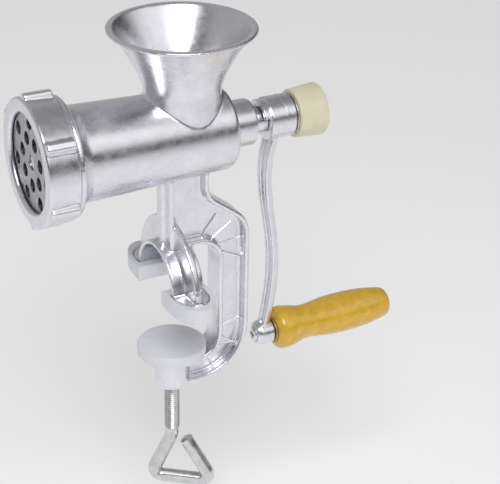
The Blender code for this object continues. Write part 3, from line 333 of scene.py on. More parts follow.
def newFinish(name, look):
    material = bpy.data.materials.new(name)
    material.use_nodes = True
    tree = material.node_tree
    shader = tree.nodes["Principled BSDF"]
    coords = put(tree, "ShaderNodeTexCoord")["Object"]

    def noise(size, detail=3.0, stretch=None):
        vector = coords
        if stretch:
            vector = put(tree, "ShaderNodeMapping", [("Vector", coords), ("Scale", stretch)])[0]
        return put(tree, "ShaderNodeTexNoise",
                   [("Vector", vector), ("Scale", 1 / (size * mm)), ("Detail", detail)])[0]

    ramp = tree.nodes.new("ShaderNodeValToRGB")
    ramp.color_ramp.elements[0].position = 0.5 - look.get("spread", 0.2)
    ramp.color_ramp.elements[1].position = 0.5 + look.get("spread", 0.2)
    ramp.color_ramp.elements[0].color = (*look["dark"], 1)
    ramp.color_ramp.elements[1].color = (*look["light"], 1)
    tree.links.new(noise(look["patch"], 5.0), ramp.inputs[0])
    colour = ramp.outputs[0]
    if "speck" in look:    # small dark flecks under the lacquer
        fleck = put(tree, "ShaderNodeMapRange",
                    [("Value", noise(look["speckSize"], 2.0)), ("From Min", 0.62),
                     ("From Max", 0.70)])[0]
        colour = put(tree, "ShaderNodeMix", [(0, fleck), (6, colour), (7, (*look["speck"], 1))],
                     data_type="RGBA")[2]
    if "worn" in look:     # handling brightens the outer edges
        point = put(tree, "ShaderNodeNewGeometry")["Pointiness"]
        edge = put(tree, "ShaderNodeMapRange",
                   [("Value", point), ("From Min", 0.52), ("From Max", 0.60)])[0]
        colour = put(tree, "ShaderNodeMix", [(0, edge), (6, colour), (7, (*look["worn"], 1))],
                     data_type="RGBA")[2]
    tree.links.new(colour, shader.inputs["Base Color"])
    rough = put(tree, "ShaderNodeMapRange",
                [("Value", noise(look["patch"] * 0.6)), ("From Min", 0.3), ("From Max", 0.7),
                 ("To Min", look["rough"][0]), ("To Max", look["rough"][1])])[0]
    tree.links.new(rough, shader.inputs["Roughness"])
    normal = None
    for size, depth, stretch in look["bumps"]:
        links = [("Height", noise(size, 2.0, stretch)), ("Distance", depth * mm)]
        if normal:
            links.append(("Normal", normal))
        normal = put(tree, "ShaderNodeBump", links)[0]
    if "rings" in look:    # marks left by turning or grinding, round the barrel's axis
        moved = put(tree, "ShaderNodeMapping", [("Vector", coords), ("Location", (0, 0, -axisZ * mm))])[0]
        wave = put(tree, "ShaderNodeTexWave",
                   [("Vector", moved), ("Scale", 0.314 / (look["rings"] * mm)), ("Distortion", 1.5)],
                   wave_type="RINGS", rings_direction="X")["Fac"]
        normal = put(tree, "ShaderNodeBump", [("Height", wave), ("Distance", look["ringDepth"] * mm),
                                              ("Normal", normal)])[0]
    tree.links.new(normal, shader.inputs["Normal"])
    shader.inputs["Metallic"].default_value = look.get("metal", 0)
    shader.inputs["Coat Weight"].default_value = look.get("coat", 0)
    shader.inputs["Coat Roughness"].default_value = 0.12
    shader.inputs["Subsurface Weight"].default_value = look.get("glow", 0)
    shader.inputs["Subsurface Scale"].default_value = 2 * mm
    return material


looks = {
    "castAluminium": {"light": (0.82, 0.82, 0.86), "dark": (0.70, 0.70, 0.75), "worn": (0.92, 0.92, 0.95),
                      "patch": 7, "spread": 0.34, "rough": (0.24, 0.34),
                      "metal": 1, "bumps": [(8, 0.05, None), (0.9, 0.022, None)]},
    "groundSteel": {"light": (0.46, 0.46, 0.49), "dark": (0.36, 0.36, 0.38), "patch": 6,
                    "rough": (0.26, 0.42),
                    "metal": 1, "bumps": [(0.8, 0.01, None)], "rings": 0.7, "ringDepth": 0.012},
    "zincSteel": {"light": (0.70, 0.71, 0.72), "dark": (0.56, 0.57, 0.57), "worn": (0.86, 0.86, 0.87),
                  "patch": 5,
                  "rough": (0.22, 0.38), "metal": 1, "bumps": [(4, 0.04, None), (0.7, 0.012, None)]},
    "whitePlastic": {"light": (0.80, 0.81, 0.85), "dark": (0.75, 0.76, 0.81), "patch": 12,
                     "rough": (0.34, 0.46),
                     "glow": 0.08, "bumps": [(9, 0.05, None), (0.5, 0.006, None)]},
    "ivoryPlastic": {"light": (0.80, 0.75, 0.57), "dark": (0.74, 0.68, 0.49), "patch": 10,
                     "rough": (0.26, 0.40),
                     "glow": 0.12, "bumps": [(8, 0.05, None), (0.6, 0.008, None)]},
    "yellowWood": {"light": (0.84, 0.53, 0.04), "dark": (0.66, 0.36, 0.02), "speck": (0.46, 0.27, 0.03),
                   "speckSize": 0.9, "patch": 5, "spread": 0.26, "rough": (0.30, 0.42), "coat": 0.7,
                   "bumps": [(6, 0.05, (0.25, 1, 1)), (0.8, 0.012, (0.2, 1, 1))]},
    "dullBrass": {"light": (0.56, 0.44, 0.22), "dark": (0.36, 0.28, 0.14), "patch": 3,
                  "rough": (0.34, 0.52),
                  "metal": 1, "bumps": [(0.8, 0.012, None)]},
    "nylon": {"light": (0.84, 0.82, 0.76), "dark": (0.76, 0.74, 0.67), "patch": 6, "rough": (0.44, 0.56),
              "glow": 0.1, "bumps": [(0.6, 0.008, None)]},
}
finishes = {name: newFinish(name, look) for name, look in looks.items()}
print("finishes made:", len(finishes))


# Camera, light and floor first, so that every later piece can be judged

view = {"place": (-0.3502, -0.7608, 0.4738), "lens": 113.24,
        "right": (0.88731, -0.46085, 0.01746), "up": (0.20136, 0.42120, 0.88434),
        "back": (-0.41490, -0.78116, 0.46653)}


def makeCamera():
    data = bpy.data.cameras.new("camera")
    data.lens = view["lens"]
    data.sensor_width = 36
    data.clip_start = 0.05
    data.clip_end = 50
    camera = bpy.data.objects.new("camera", data)
    bpy.context.scene.collection.objects.link(camera)
    axes = Matrix((view["right"], view["up"], view["back"])).transposed()
    camera.matrix_world = Matrix.Translation(view["place"]) @ axes.to_4x4()
    bpy.context.scene.camera = camera


studio = {"softbox": 0.95, "gloom": 0.05, "sky": 0.28, "behind": 0.42, "ground": 0.40, "floorGlow": 0.26,
          "facing": (0.47, -0.88, 0), "boxLow": 17, "boxHigh": 53, "floorDrop": 60}


def makeLight():
    world = bpy.data.worlds.new("studio")
    world.use_nodes = True
    bpy.context.scene.world = world
    tree = world.node_tree
    backdrop = tree.nodes["Background"]
    backdrop.inputs["Color"].default_value = (1, 1, 1, 1)
    way = put(tree, "ShaderNodeTexCoord")["Generated"]
    height = put(tree, "ShaderNodeSeparateXYZ", [(0, way)])["Z"]
    front = put(tree, "ShaderNodeVectorMath", [(0, way), (1, studio["facing"])],
                operation="DOT_PRODUCT")["Value"]

    def ease(value, low, high, atLow=0.0, atHigh=1.0):
        return put(tree, "ShaderNodeMapRange", [("Value", value), ("From Min", low), ("From Max", high),
                                                ("To Min", atLow), ("To Max", atHigh)],
                   interpolation_type="SMOOTHSTEP")[0]

    def sineOf(degrees):
        return math.sin(math.radians(degrees))

    lower, upper = studio["boxLow"], studio["boxHigh"]
    rise = ease(height, sineOf(lower - 4), sineOf(lower + 6))
    fall = ease(height, sineOf(upper - 6), sineOf(upper + 8), 1.0, 0.0)
    inBox = calc(tree, "MULTIPLY", calc(tree, "MULTIPLY", rise, fall), ease(front, 0.25, 0.80))
    below = ease(height, sineOf(-12), sineOf(-4), studio["ground"], studio["gloom"])
    lit = calc(tree, "ADD", below,
               ease(height, sineOf(lower), sineOf(upper + 5), 0.0, studio["sky"] - studio["gloom"]))
    lit = calc(tree, "ADD", lit, calc(tree, "MULTIPLY", inBox, studio["softbox"] - studio["gloom"]))
    behind = ease(front, -0.55, 0.05, studio["behind"], 0.0)
    lit = calc(tree, "MAXIMUM", lit, behind)
    camera = put(tree, "ShaderNodeLightPath")["Is Camera Ray"]
    lit = calc(tree, "ADD", calc(tree, "MULTIPLY", lit, calc(tree, "SUBTRACT", 1.0, camera)), camera)
    tree.links.new(lit, backdrop.inputs["Strength"])
    key = bpy.data.lights.new("key", "AREA")
    key.shape = "DISK"
    key.size = 0.7
    key.energy = 8
    lamp = bpy.data.objects.new("key", key)
    bpy.context.scene.collection.objects.link(lamp)
    lamp.location = (-0.35, -0.75, 1.05)
    lamp.rotation_mode = "QUATERNION"
    lamp.rotation_quaternion = (Vector((0, 0, 0.05)) - lamp.location).to_track_quat("-Z", "Y")
    bpy.context.scene.view_settings.view_transform = "Standard"


def makeFloor():
    paint = bpy.data.materials.new("paleFloor")
    paint.use_nodes = True
    shader = paint.node_tree.nodes["Principled BSDF"]
    shader.inputs["Base Color"].default_value = (0.93, 0.93, 0.94, 1)
    shader.inputs["Roughness"].default_value = 0.85
    shader.inputs["Emission Color"].default_value = (1, 1, 1, 1)
    shader.inputs["Emission Strength"].default_value = studio["floorGlow"]
    level = (lowestZ - studio["floorDrop"]) * mm
    half = 6.0
    mesh = bpy.data.meshes.new("floor")
    mesh.from_pydata([(-half, -half, level), (half, -half, level), (half, half, level),
                      (-half, half, level)],
                     [], [(0, 1, 2, 3)])
    mesh.materials.append(paint)
    workObject("floor", mesh)


makeCamera()
makeLight()
makeFloor()
print("camera, light and floor made")


# Body casting: barrel, hopper, stem, C-shaped frame, jaw bridge and clamp boss in one skin

casting = {"frontX": -84.0, "rearX": 34.9, "frontR": 28.4, "rearR": 25.1, "wall": 3.2, "rearWall": 5.0,
           "shoulder": 4.0,
           "headR": 34.3, "seatX": -79.6, "seatR": 31.9, "chamberR": 27.1, "collarX": -69.2,
           "collarR": 35.8,
           "collarWidth": 3.0, "flare": 5.0, "bearingR": 14.2, "bearingBore": 11.0, "bearingLength": 16.4,
           "voxel": 0.8, "rounds": 5, "most": 190000, "soft": 1.4}
hopper = {"x": 7.8, "rimR": 43.5, "throatR": 22.9, "wall": 2.4, "lip": 1.5, "lipHeight": 2.2, "neck": 2.0,
          "curve": 1.35, "height": 66.2}
stand = {"web": 4.4, "flange": 3.0, "flangeWidth": 17.5, "stemX": -4.8, "stemWidth": 20.0, "ridge": 2.2,
         "jawX": -0.5, "footStraight": 0.3,
         "neckX": 21.5, "neckFillet": 14.0, "rearX": 49.0, "spineWidth": 20.5, "drop": 40.0, "slope": 0.74,
         "shoulderR": 19.0, "heelR": 33.5, "armHeight": 17.2, "throatTop": 30.3, "throatTopR": 13.0,
         "throatFloor": -49.5, "throatFloorR": 14.0, "archR": 23.5, "archZ": 6.5, "strip": 2.8,
         "archWidth": 20.4,
         "gussetR": 41.0, "gusset": 4.0, "footZ": 3.0, "foot": 6.0, "footWidth": 21.0, "footReach": 1.4,
         "bossR": 10.4, "bossDrop": 1.8, "bossHole": 5.1}
collarEnd = casting["collarX"] + casting["collarWidth"]
rootX = collarEnd + casting["flare"]
bearingEnd = casting["rearX"] + casting["bearingLength"]
boreEnd = casting["rearX"] - casting["rearWall"]
rimZ = axisZ + hopper["height"]
frameBottom = stand["throatFloor"] - stand["armHeight"]
throatX = stand["rearX"] - stand["spineWidth"]
footInner = stand["archR"] - 1.0
footOuter = stand["gussetR"] + stand["footReach"]


def boreR(x):
    share = (x - rootX) / (casting["rearX"] - rootX)
    return casting["frontR"] + (casting["rearR"] - casting["frontR"]) * share - casting["wall"]


def barrelSolid():
    c = casting
    return turned(softened([
        (c["frontX"], 0), (c["frontX"], c["headR"], 0.6), (c["collarX"], c["headR"]),
                            (c["collarX"], c["collarR"], 0.7),
        (collarEnd, c["collarR"], 1.0), (collarEnd + 0.4 * c["flare"], c["frontR"] + 2.2, 2.0),
        (rootX + 1.5, c["frontR"], 3.0), (c["rearX"], c["rearR"], c["shoulder"]),
                            (c["rearX"], c["bearingR"], 1.5),
        (bearingEnd, c["bearingR"], 1.2), (bearingEnd, 0)]), "X", (0, axisZ), 160)


def barrelBore():
    c = casting
    return turned([(c["frontX"] - 1, 0), (c["frontX"] - 1, c["seatR"]), (c["seatX"], c["seatR"]),
                   (c["seatX"], c["chamberR"]), (c["collarX"], c["chamberR"]), (rootX, boreR(rootX)),
                   (boreEnd, boreR(boreEnd)), (boreEnd, c["bearingBore"]),
                   (bearingEnd + 1, c["bearingBore"]),
                   (bearingEnd + 1, 0)], "X", (0, axisZ), 160)


def hopperWall(top, inset):    # flares towards the rim
    start = axisZ + casting["frontR"] + hopper["neck"]
    grow = hopper["rimR"] - hopper["lip"] - hopper["throatR"]
    levels = [start + (top - start) * step / 36 for step in range(37)]
    return [(z, hopper["throatR"] - inset + grow * ((z - start) / (rimZ - start)) ** hopper["curve"])
            for z in levels]


def hopperSolid():
    lipZ = rimZ - hopper["lipHeight"]
    lip = softened([(lipZ - 0.01, hopperWall(lipZ, 0)[-1][1]), (lipZ, hopper["rimR"], 0.7),
                    (rimZ, hopper["rimR"], 0.8), (rimZ, 0)])
    return turned([(axisZ, 0), (axisZ, hopper["throatR"]), *hopperWall(lipZ, 0)[:-1], *lip], "Z",
                  (hopper["x"], 0), 192)


def hopperHollow():
    wall = hopperWall(rimZ, hopper["wall"])
    return turned([(axisZ, 0), (axisZ, hopper["throatR"] - hopper["wall"]), *wall,
                   (rimZ + 1, wall[-1][1] + 0.8),
                   (rimZ + 1, 0)], "Z", (hopper["x"], 0), 192)


def spinePath():
    bendZ = axisZ - stand["drop"]
    return softened([(stand["neckX"], axisZ - boreR(stand["neckX"]) - casting["wall"] / 2),
                     (stand["neckX"], bendZ, stand["neckFillet"]),
                     (stand["rearX"], bendZ - (stand["rearX"] - stand["neckX"]) * stand["slope"],
                      stand["shoulderR"]),
                     (stand["rearX"], frameBottom, stand["heelR"]), (0, frameBottom)], steps=20)


def throatPath(startX):
    return softened([(startX, stand["throatTop"]), (throatX, stand["throatTop"], stand["throatTopR"]),
                     (throatX, stand["throatFloor"], stand["throatFloorR"]), (0, stand["throatFloor"])],
                    steps=20)


def flangeAlong(path, side):
    half = stand["flangeWidth"] / 2
    return slab(path + offset(path, side * stand["flange"])[::-1], "XZ", -half, half)


def frameSolids():
    s = stand
    startX = s["stemX"] + s["web"] / 4
    spine = spinePath()
    webOutline = spine + throatPath(startX)[::-1] + [(startX, spine[0][1])]
    top = axisZ - boreR(s["stemX"]) - casting["wall"] / 2
    bottom = s["archZ"] + s["archR"] + s["strip"] / 2
    stem = block((s["stemX"], s["stemX"] + s["flange"]), (-s["stemWidth"] / 2, s["stemWidth"] / 2),
                 (bottom, top))
    ridge = block((s["stemX"] - s["ridge"], s["stemX"] + 1), (-s["ridge"], s["ridge"]), (bottom, top))
    return [slab(webOutline, "XZ", -s["web"] / 2, s["web"] / 2), flangeAlong(spine, -1),
            flangeAlong(throatPath(s["jawX"]), 1), stem, ridge]


def footOutline(side, inner, outer, width, grow=0.0):
    straight = inner + stand["footStraight"] * (outer - inner)
    half = width / 2 + grow
    reach = outer + grow - straight
    turns = [math.radians(a) for a in range(0, 181, 5)]
    x = stand["jawX"]
    curve = [(x + half * math.cos(a), side * (straight + reach * math.sin(a))) for a in turns]
    return [(x + half, side * (inner - grow)), *curve, (x - half, side * (inner - grow))]


def jawSolids():
    s = stand
    centre = (0, s["archZ"])
    outerR, midR = s["archR"] + s["strip"], s["archR"] + s["strip"] / 2
    sole = s["footZ"] + s["foot"] / 2
    strip = [(outerR, s["footZ"]), *arc(centre, outerR, 0, 180, 60), (-outerR, s["footZ"]),
             (-s["archR"], s["footZ"]),
             *arc(centre, s["archR"], 180, 0, 60), (s["archR"], s["footZ"])]
    plate = [(s["gussetR"], sole), *arc(centre, s["gussetR"], 0, 180, 60), (-s["gussetR"], sole),
             (-midR, sole),
             *arc(centre, midR, 180, 0, 60), (midR, sole)]
    feet = [slab(footOutline(side, footInner, footOuter, s["footWidth"]), "XY", s["footZ"],
                 s["footZ"] + s["foot"])
            for side in (-1, 1)]
    return [slab(strip, "YZ", s["jawX"] - s["archWidth"] / 2, s["jawX"] + s["archWidth"] / 2),
            slab(plate, "YZ", s["jawX"] - s["gusset"] / 2, s["jawX"] + s["gusset"] / 2), *feet]


def clearSeats(mesh):    # keeps the ring's thread and the plate's seat true in the skin's soft corners
    c = casting
    for vertex in mesh.vertices:
        out = Vector((vertex.co.y, vertex.co.z - axisZ))
        radius = out.length
        if radius < 1e-6:
            continue
        beforeCollar, proud = c["collarX"] - vertex.co.x, radius - c["headR"]
        beforeSeat, inward = c["seatX"] - vertex.co.x, c["seatR"] - radius
        if beforeCollar > 0 and 0 < proud < c["soft"]:
            if proud < beforeCollar:
                radius = c["headR"]
            else:
                vertex.co.x = c["collarX"]
        elif beforeSeat > 0 and 0 < inward < c["seatR"] - c["chamberR"] + c["soft"]:
            if inward < beforeSeat:
                radius = c["seatR"]
            else:
                vertex.co.x = c["seatX"]
        out *= radius / out.length
        vertex.co.y, vertex.co.z = out.x, out.y + axisZ


def makeBody():
    s = stand
    low, high = frameBottom - s["bossDrop"], s["throatFloor"] + 0.6
    boss = turned(softened([(low, 0), (low, s["bossR"], 1.6), (high, s["bossR"], 0.8), (high, 0)]), "Z",
                  (0, 0), 96)
    hole = turned([(low - 1, 0), (low - 1, s["bossHole"]), (high + 1, s["bossHole"]), (high + 1, 0)], "Z",
                  (0, 0), 64)
    solids = [hopperSolid(), *frameSolids(), *jawSolids(), boss]
    mesh = combined(plainMesh("body", barrelSolid()), "UNION", solids)
    mesh = combined(mesh, "DIFFERENCE", [barrelBore(), hopperHollow(), hole])
    mesh = castSkin(mesh, casting["voxel"], casting["rounds"], casting["most"])
    clearSeats(mesh)
    settle("bodyCasting", mesh, finishes["castAluminium"], "housing", ["body_casting"],
           60)
    print("body casting:", len(mesh.polygons), "faces")


makeBody()


# Thin ribs that fan over the bends of the frame's plate, on both sides of it

ribs = {"height": 0.9, "near": 0.16, "top": [(76, -24), (48, -14), (26, -20), (8, -34)],
        "low": [(4, 10), (-14, -30), (-40, 34), (-62, -6)]}


def makeRibs():
    s = stand
    bends = [(Vector((throatX - s["throatTopR"], s["throatTop"] - s["throatTopR"])), s["throatTopR"],
              ribs["top"]),
             (Vector((throatX - s["throatFloorR"], s["throatFloor"] + s["throatFloorR"])),
              s["throatFloorR"],
              ribs["low"])]
    near, far = s["spineWidth"] * ribs["near"], s["spineWidth"] - s["flange"] / 2
    lines = bmesh.new()
    for centre, radius, rays in bends:
        for angle, lean in rays:
            turn, heading = math.radians(angle), math.radians(angle + lean)
            start = centre + Vector((math.cos(turn), math.sin(turn))) * (radius + near)
            end = start + Vector((math.cos(heading), math.sin(heading))) * (far - near)
            for side in (-1, 1):
                depth = side * s["web"] / 2
                lines.edges.new([lines.verts.new((spot.x, depth, spot.y)) for spot in (start, end)])
    mesh = bpy.data.meshes.new("ribLines")
    lines.to_mesh(mesh)
    lines.free()
    tree, given = newTree("fanOfRibs", [("Rib Radius", "Float")])
    curve = put(tree, "GeometryNodeMeshToCurve", [("Mesh", given["Geometry"])])[0]
    section = put(tree, "GeometryNodeCurvePrimitiveCircle",
                  [("Resolution", 12), ("Radius", given["Rib Radius"])])[0]
    bars = put(tree, "GeometryNodeCurveToMesh",
               [("Curve", curve), ("Profile Curve", section), ("Fill Caps", True)])[0]
    endTree(tree, bars, finishes["castAluminium"])
    settle("webRibs", grown(mesh, tree, {"Rib Radius": ribs["height"]}), finishes["castAluminium"],
           "housing")
    print("web ribs made")


makeRibs()


# Outlet: ring nut with its lugs, and the mincing plate

ringNut = {"outerR": 37.7, "boreR": 34.6, "lipR": 28.8, "lip": 3.0, "taper": 1.0, "lugs": 6, "phase": 26,
           "lugHeight": 3.0,
           "lugRoot": 8.0, "lugTip": 4.6, "voxel": 0.5}


def makeRingNut():
    r = ringNut
    frontX, rearX = span("ring_nut")[0].x, span("ring_nut")[1].x
    inner = frontX + r["lip"]
    profile = softened([(frontX, r["lipR"] + 1.4, 0.5), (frontX, r["outerR"], 1.4),
                        (rearX, r["outerR"] - r["taper"], 0.6),
                        (rearX, r["boreR"], 0.4), (inner, r["boreR"]), (inner, r["lipR"], 0.4),
                        (frontX + 1.4, r["lipR"], 0.5)], closed=True)
    high = r["outerR"] + r["lugHeight"]
    sunk = r["outerR"] - 1.6
    outline = [(sunk, -r["lugRoot"] / 2), (high, -r["lugTip"] / 2), (high, r["lugTip"] / 2),
               (sunk, r["lugRoot"] / 2)]
    lugMesh = worked(plainMesh("lug", slab(outline, "YZ", frontX + 1, rearX - 1)),
                     ("BEVEL", {"width": 1.0, "segments": 4, "limit_method": "ANGLE"}))
    lug = workObject("lug", lugMesh)
    tree, given = newTree("lugsRoundRing",
                          [("Lug", "Object"), ("Lug Count", "Int"), ("First Lug Angle", "Float")])
    tool = put(tree, "GeometryNodeObjectInfo", [("Object", given["Lug"])])["Geometry"]
    lugs = aroundX(tree, tool, given["Lug Count"], given["First Lug Angle"], 0.0)
    both = tree.nodes.new("GeometryNodeJoinGeometry")
    tree.links.new(given["Geometry"], both.inputs[0])
    tree.links.new(lugs, both.inputs[0])
    endTree(tree, both.outputs[0], finishes["castAluminium"])
    mesh = grown(plainMesh("ring", turned(profile, "X", (0, 0), 160)), tree,
                 {"Lug": lug, "Lug Count": r["lugs"], "First Lug Angle": math.radians(r["phase"])})
    bpy.data.objects.remove(lug)
    mesh = castSkin(mesh, r["voxel"], 4, 150000)
    mesh.transform(Matrix.Translation((0, 0, axisZ)))
    settle("ringNut", mesh, finishes["castAluminium"], "ring", ["ring_nut"], 60)
    print("ring nut:", len(mesh.polygons), "faces")


makeRingNut()

plate = {"radius": 31.0, "holeR": 4.0, "holes": 7, "innerRing": 14.0, "outerRing": 23.8, "innerPhase": 12.9,
         "outerPhase": 36.0, "chamfer": 0.35, "centreR": 4.3, "keyR": 1.8}


def chamferedCutter(low, high, radius, chamfer, sides=40):
    return turned([(low - 1, 0), (low - 1, radius + chamfer + 1), (low + chamfer, radius),
                   (high - chamfer, radius),
                   (high + 1, radius + chamfer + 1), (high + 1, 0)], "X", (0, 0), sides)


def makePlate():
    p = plate
    low, high = span("mincer_plate")[0].x, span("mincer_plate")[1].x
    disc = turned(softened([(low, 0), (low, p["radius"], 0.5), (high, p["radius"], 0.4), (high, 0)]), "X",
                  (0, 0), 160)
    centre = chamferedCutter(low, high, p["centreR"], p["chamfer"], 64)
    key = chamferedCutter(low, high, p["keyR"], 0.1)
    bmesh.ops.translate(key, verts=key.verts, vec=(0, 0, -p["radius"]))
    mesh = combined(plainMesh("disc", disc), "DIFFERENCE", [centre, key])
    cutter = workObject("cutter", plainMesh("cutter", chamferedCutter(low, high, p["holeR"], p["chamfer"])))
    tree, given = newTree("holesInPlate", [("Cutter", "Object"), ("Holes", "Int"), ("Inner Ring", "Float"),
                                           ("Outer Ring", "Float"), ("Inner Phase", "Float"),
                                           ("Outer Phase", "Float")])
    tool = put(tree, "GeometryNodeObjectInfo", [("Object", given["Cutter"])])["Geometry"]
    cut = given["Geometry"]
    for ring in ("Inner", "Outer"):
        spots = aroundX(tree, tool, given["Holes"], given[ring + " Phase"], given[ring + " Ring"])
        tools = put(tree, "GeometryNodeRealizeInstances", [(0, spots)])[0]
        cut = put(tree, "GeometryNodeMeshBoolean", [("Mesh 1", cut), ("Mesh 2", tools)],
                  operation="DIFFERENCE", solver="EXACT")[0]
    endTree(tree, cut, finishes["groundSteel"])
    mesh = grown(mesh, tree, {"Cutter": cutter, "Holes": p["holes"], "Inner Ring": p["innerRing"],
                              "Outer Ring": p["outerRing"], "Inner Phase": math.radians(p["innerPhase"]),
                              "Outer Phase": math.radians(p["outerPhase"])})
    bpy.data.objects.remove(cutter)
    mesh = worked(mesh, ("WELD", {"merge_threshold": 0.004}))    # closes slivers left where cuts meet
    mesh.transform(Matrix.Translation((0, 0, axisZ)))
    settle("mincingPlate", mesh, finishes["groundSteel"], "plate", ["mincer_plate"], 30)
    print("mincing plate:", len(mesh.polygons), "faces")


makePlate()


# Feed screw and its shaft, seen down through the hopper

screw = {"coreR": 9.0, "pitch": 30.0, "span": 66, "clearance": 1.2, "shaftR": 8.0, "tongue": 10.4,
         "tongueLength": 14.2, "hubLength": 16.9, "drillR": 4.3, "overrun": 2, "sides": 72,
         "perPitch": 60, "leadLeast": 0.3, "leadShare": 0.43}


def lobeShare(angle):    # 1 on the flight, 0 on the core, rounded between them
    half = math.radians(screw["span"]) / 2
    away = abs((angle + math.pi) % (2 * math.pi) - math.pi)
    t = min(1.0, max(0.0, (half - away) / (half * 0.30)))
    return t * t * (3 - 2 * t)


def makeFeedScrew():
    frontX = span("cross_knife")[1].x + gap
    rearX = span("thrust_washer")[0].x - gap
    length = rearX - frontX
    count = round(screw["perPitch"] * length / screw["pitch"])
    stations = []
    for index in range(count + 1):
        x = frontX + length * index / count
        room = min(casting["chamberR"], boreR(max(x, rootX))) - screw["clearance"]
        leadIn = min(1.0, max(screw["leadLeast"], (x - frontX) / (screw["pitch"] * screw["leadShare"])))
        flight = (room - screw["coreR"]) * leadIn
        turn = -2 * math.pi * (x - frontX) / screw["pitch"]
        ring = []
        for side in range(screw["sides"]):
            angle = 2 * math.pi * side / screw["sides"]
            radius = screw["coreR"] + flight * lobeShare(angle - turn)
            ring.append((x, radius * math.cos(angle), axisZ + radius * math.sin(angle)))
        stations.append(ring)
    settle("feedScrew", swept(stations), finishes["castAluminium"], "crankshaft",
           ["feed_screw"], 60)
    hubX = span("thumb_washer")[0].x - gap - screw["hubLength"]
    drillEnd = span("thumb_stud")[0].x - gap
    shaft = turned(softened([(rearX - 1, 0), (rearX - 1, screw["shaftR"]),
                             (hubX - gap, screw["shaftR"], 0.6),
                             (hubX - gap, screw["drillR"]), (drillEnd, screw["drillR"]), (drillEnd, 0)]),
                   "X", (0, axisZ), 96)
    settle("crankShaft", shaft, finishes["castAluminium"], "crankshaft")
    half = screw["tongue"] / 2
    tongueEnd = hubX + screw["tongueLength"]
    tongue = worked(plainMesh("tongue",
                              block((hubX - 1, tongueEnd), (-half, half), (axisZ - half, axisZ + half))),
                    ("BEVEL", {"width": 0.5, "segments": 3}))
    drillFrom, drillTo = hubX - screw["overrun"], tongueEnd + screw["overrun"]
    drill = turned([(drillFrom, 0), (drillFrom, screw["drillR"]), (drillTo, screw["drillR"]), (drillTo, 0)],
                   "X", (0, axisZ), 48)
    tongue = combined(tongue, "DIFFERENCE", [drill])
    settle("shaftTongue", tongue, finishes["castAluminium"], "crankshaft")
    print("feed screw made")


makeFeedScrew()


# Crank arm: hub, grooved bar and eye in one skin

crank = {"hubR": 13.0, "hubLength": screw["hubLength"], "lip": 4.2, "floor": 2.4, "topWidth": 13.5,
         "footWidth": 9.5, "thick": 5.0, "groove": 1.5, "grooveShare": 0.45, "bow": 5.6, "eyeR": 8.0,
         "eyeNoseR": 6.2, "eyeLength": 11.6, "voxel": 0.45, "axleR": 3.3, "sinkR": 5.1, "sinkDepth": 1.2,
         "bowSkew": 0.85, "bowFade": 0.35, "seamShare": 0.64}


def makeCrank():
    c = crank
    hubEnd = span("thumb_washer")[0].x - gap
    hubX = hubEnd - c["hubLength"]
    eyeEnd = span("grip_washer")[0].x - gap
    eyeX = eyeEnd - c["eyeLength"]
    ridgeX = hubX + c["seamShare"] * c["hubLength"]    # seam where the mould's halves met
    hub = turned(softened([(hubX, 0), (hubX, c["hubR"], 1.0), (ridgeX - 0.5, c["hubR"]),
                           (ridgeX, c["hubR"] + 0.35),
                           (ridgeX + 0.5, c["hubR"]), (hubEnd, c["hubR"], 1.2), (hubEnd, 0)]),
                 "X", (0, axisZ), 120)

    def middleOf(share):
        start = Vector((hubX + c["hubLength"] / 2, axisZ - c["hubR"] / 2))
        end = Vector((eyeX + c["eyeLength"] / 2, gripZ))
        bow = c["bow"] * math.sin(2 * math.pi * share ** c["bowSkew"]) * (1 - c["bowFade"] * share)
        return start.lerp(end, share) - Vector((bow, 0))

    stations = []
    for index in range(101):
        share = index / 100
        along = (middleOf(min(share + 0.02, 1.0)) - middleOf(max(share - 0.02, 0.0))).normalized()
        out = Vector((-along.y, along.x))
        if out.x < 0:
            out = -out
        half = (c["topWidth"] + (c["footWidth"] - c["topWidth"]) * share) / 2
        dip = half * c["grooveShare"]
        face = -c["thick"] / 2
        section = softened([(face, -half, 1.0), (face, -dip, 0.4), (face + c["groove"], -dip * 0.7, 0.5),
                            (face + c["groove"], dip * 0.7, 0.5), (face, dip, 0.4), (face, half, 1.0),
                            (-face, half - 1.2, 1.2), (-face, -half + 1.2, 1.2)], closed=True, steps=3)
        spots = [(middleOf(share) + out * depth, across) for depth, across in section]
        stations.append([(spot.x, across, spot.y) for spot, across in spots])
    lip = arc((0, axisZ), c["hubR"] - 0.8, 20, 160, 30) + arc((0, axisZ), screw["shaftR"] + 1.5, 160, 20,
                                                              30)
    eye = turned(softened([(eyeX, 0), (eyeX, c["eyeNoseR"], 0.8), (eyeX + 3.2, c["eyeR"], 1.0),
                           (eyeEnd, c["eyeR"], 0.9),
                           (eyeEnd, 0)]), "X", (0, gripZ), 96)
    mesh = combined(plainMesh("hub", hub), "UNION",
                    [slab(lip, "YZ", hubX - c["lip"], hubX + 0.8), swept(stations), eye])
    half = screw["tongue"] / 2 + gap
    seat = block((hubX - 1, hubEnd - c["floor"]), (-half, half), (axisZ - half, axisZ + half))

    def bore(z, low, high, radius):
        return turned([(low, 0), (low, radius), (high, radius), (high, 0)], "X", (0, z), 48)

    mesh = combined(mesh, "DIFFERENCE",
                    [seat, bore(axisZ, hubEnd - 4, hubEnd + 1, screw["drillR"]),
                     bore(gripZ, eyeX - 1, eyeEnd + 1, c["axleR"]),
                     bore(gripZ, eyeX - 1, eyeX + c["sinkDepth"], c["sinkR"])])
    mesh = castSkin(mesh, c["voxel"], 3, 150000)
    settle("crankArm", mesh, finishes["castAluminium"], "crankshaft", ["crank_arm"], 60)
    print("crank arm:", len(mesh.polygons), "faces")


makeCrank()


# Turned pieces: each node's own length, with fine rounded edges

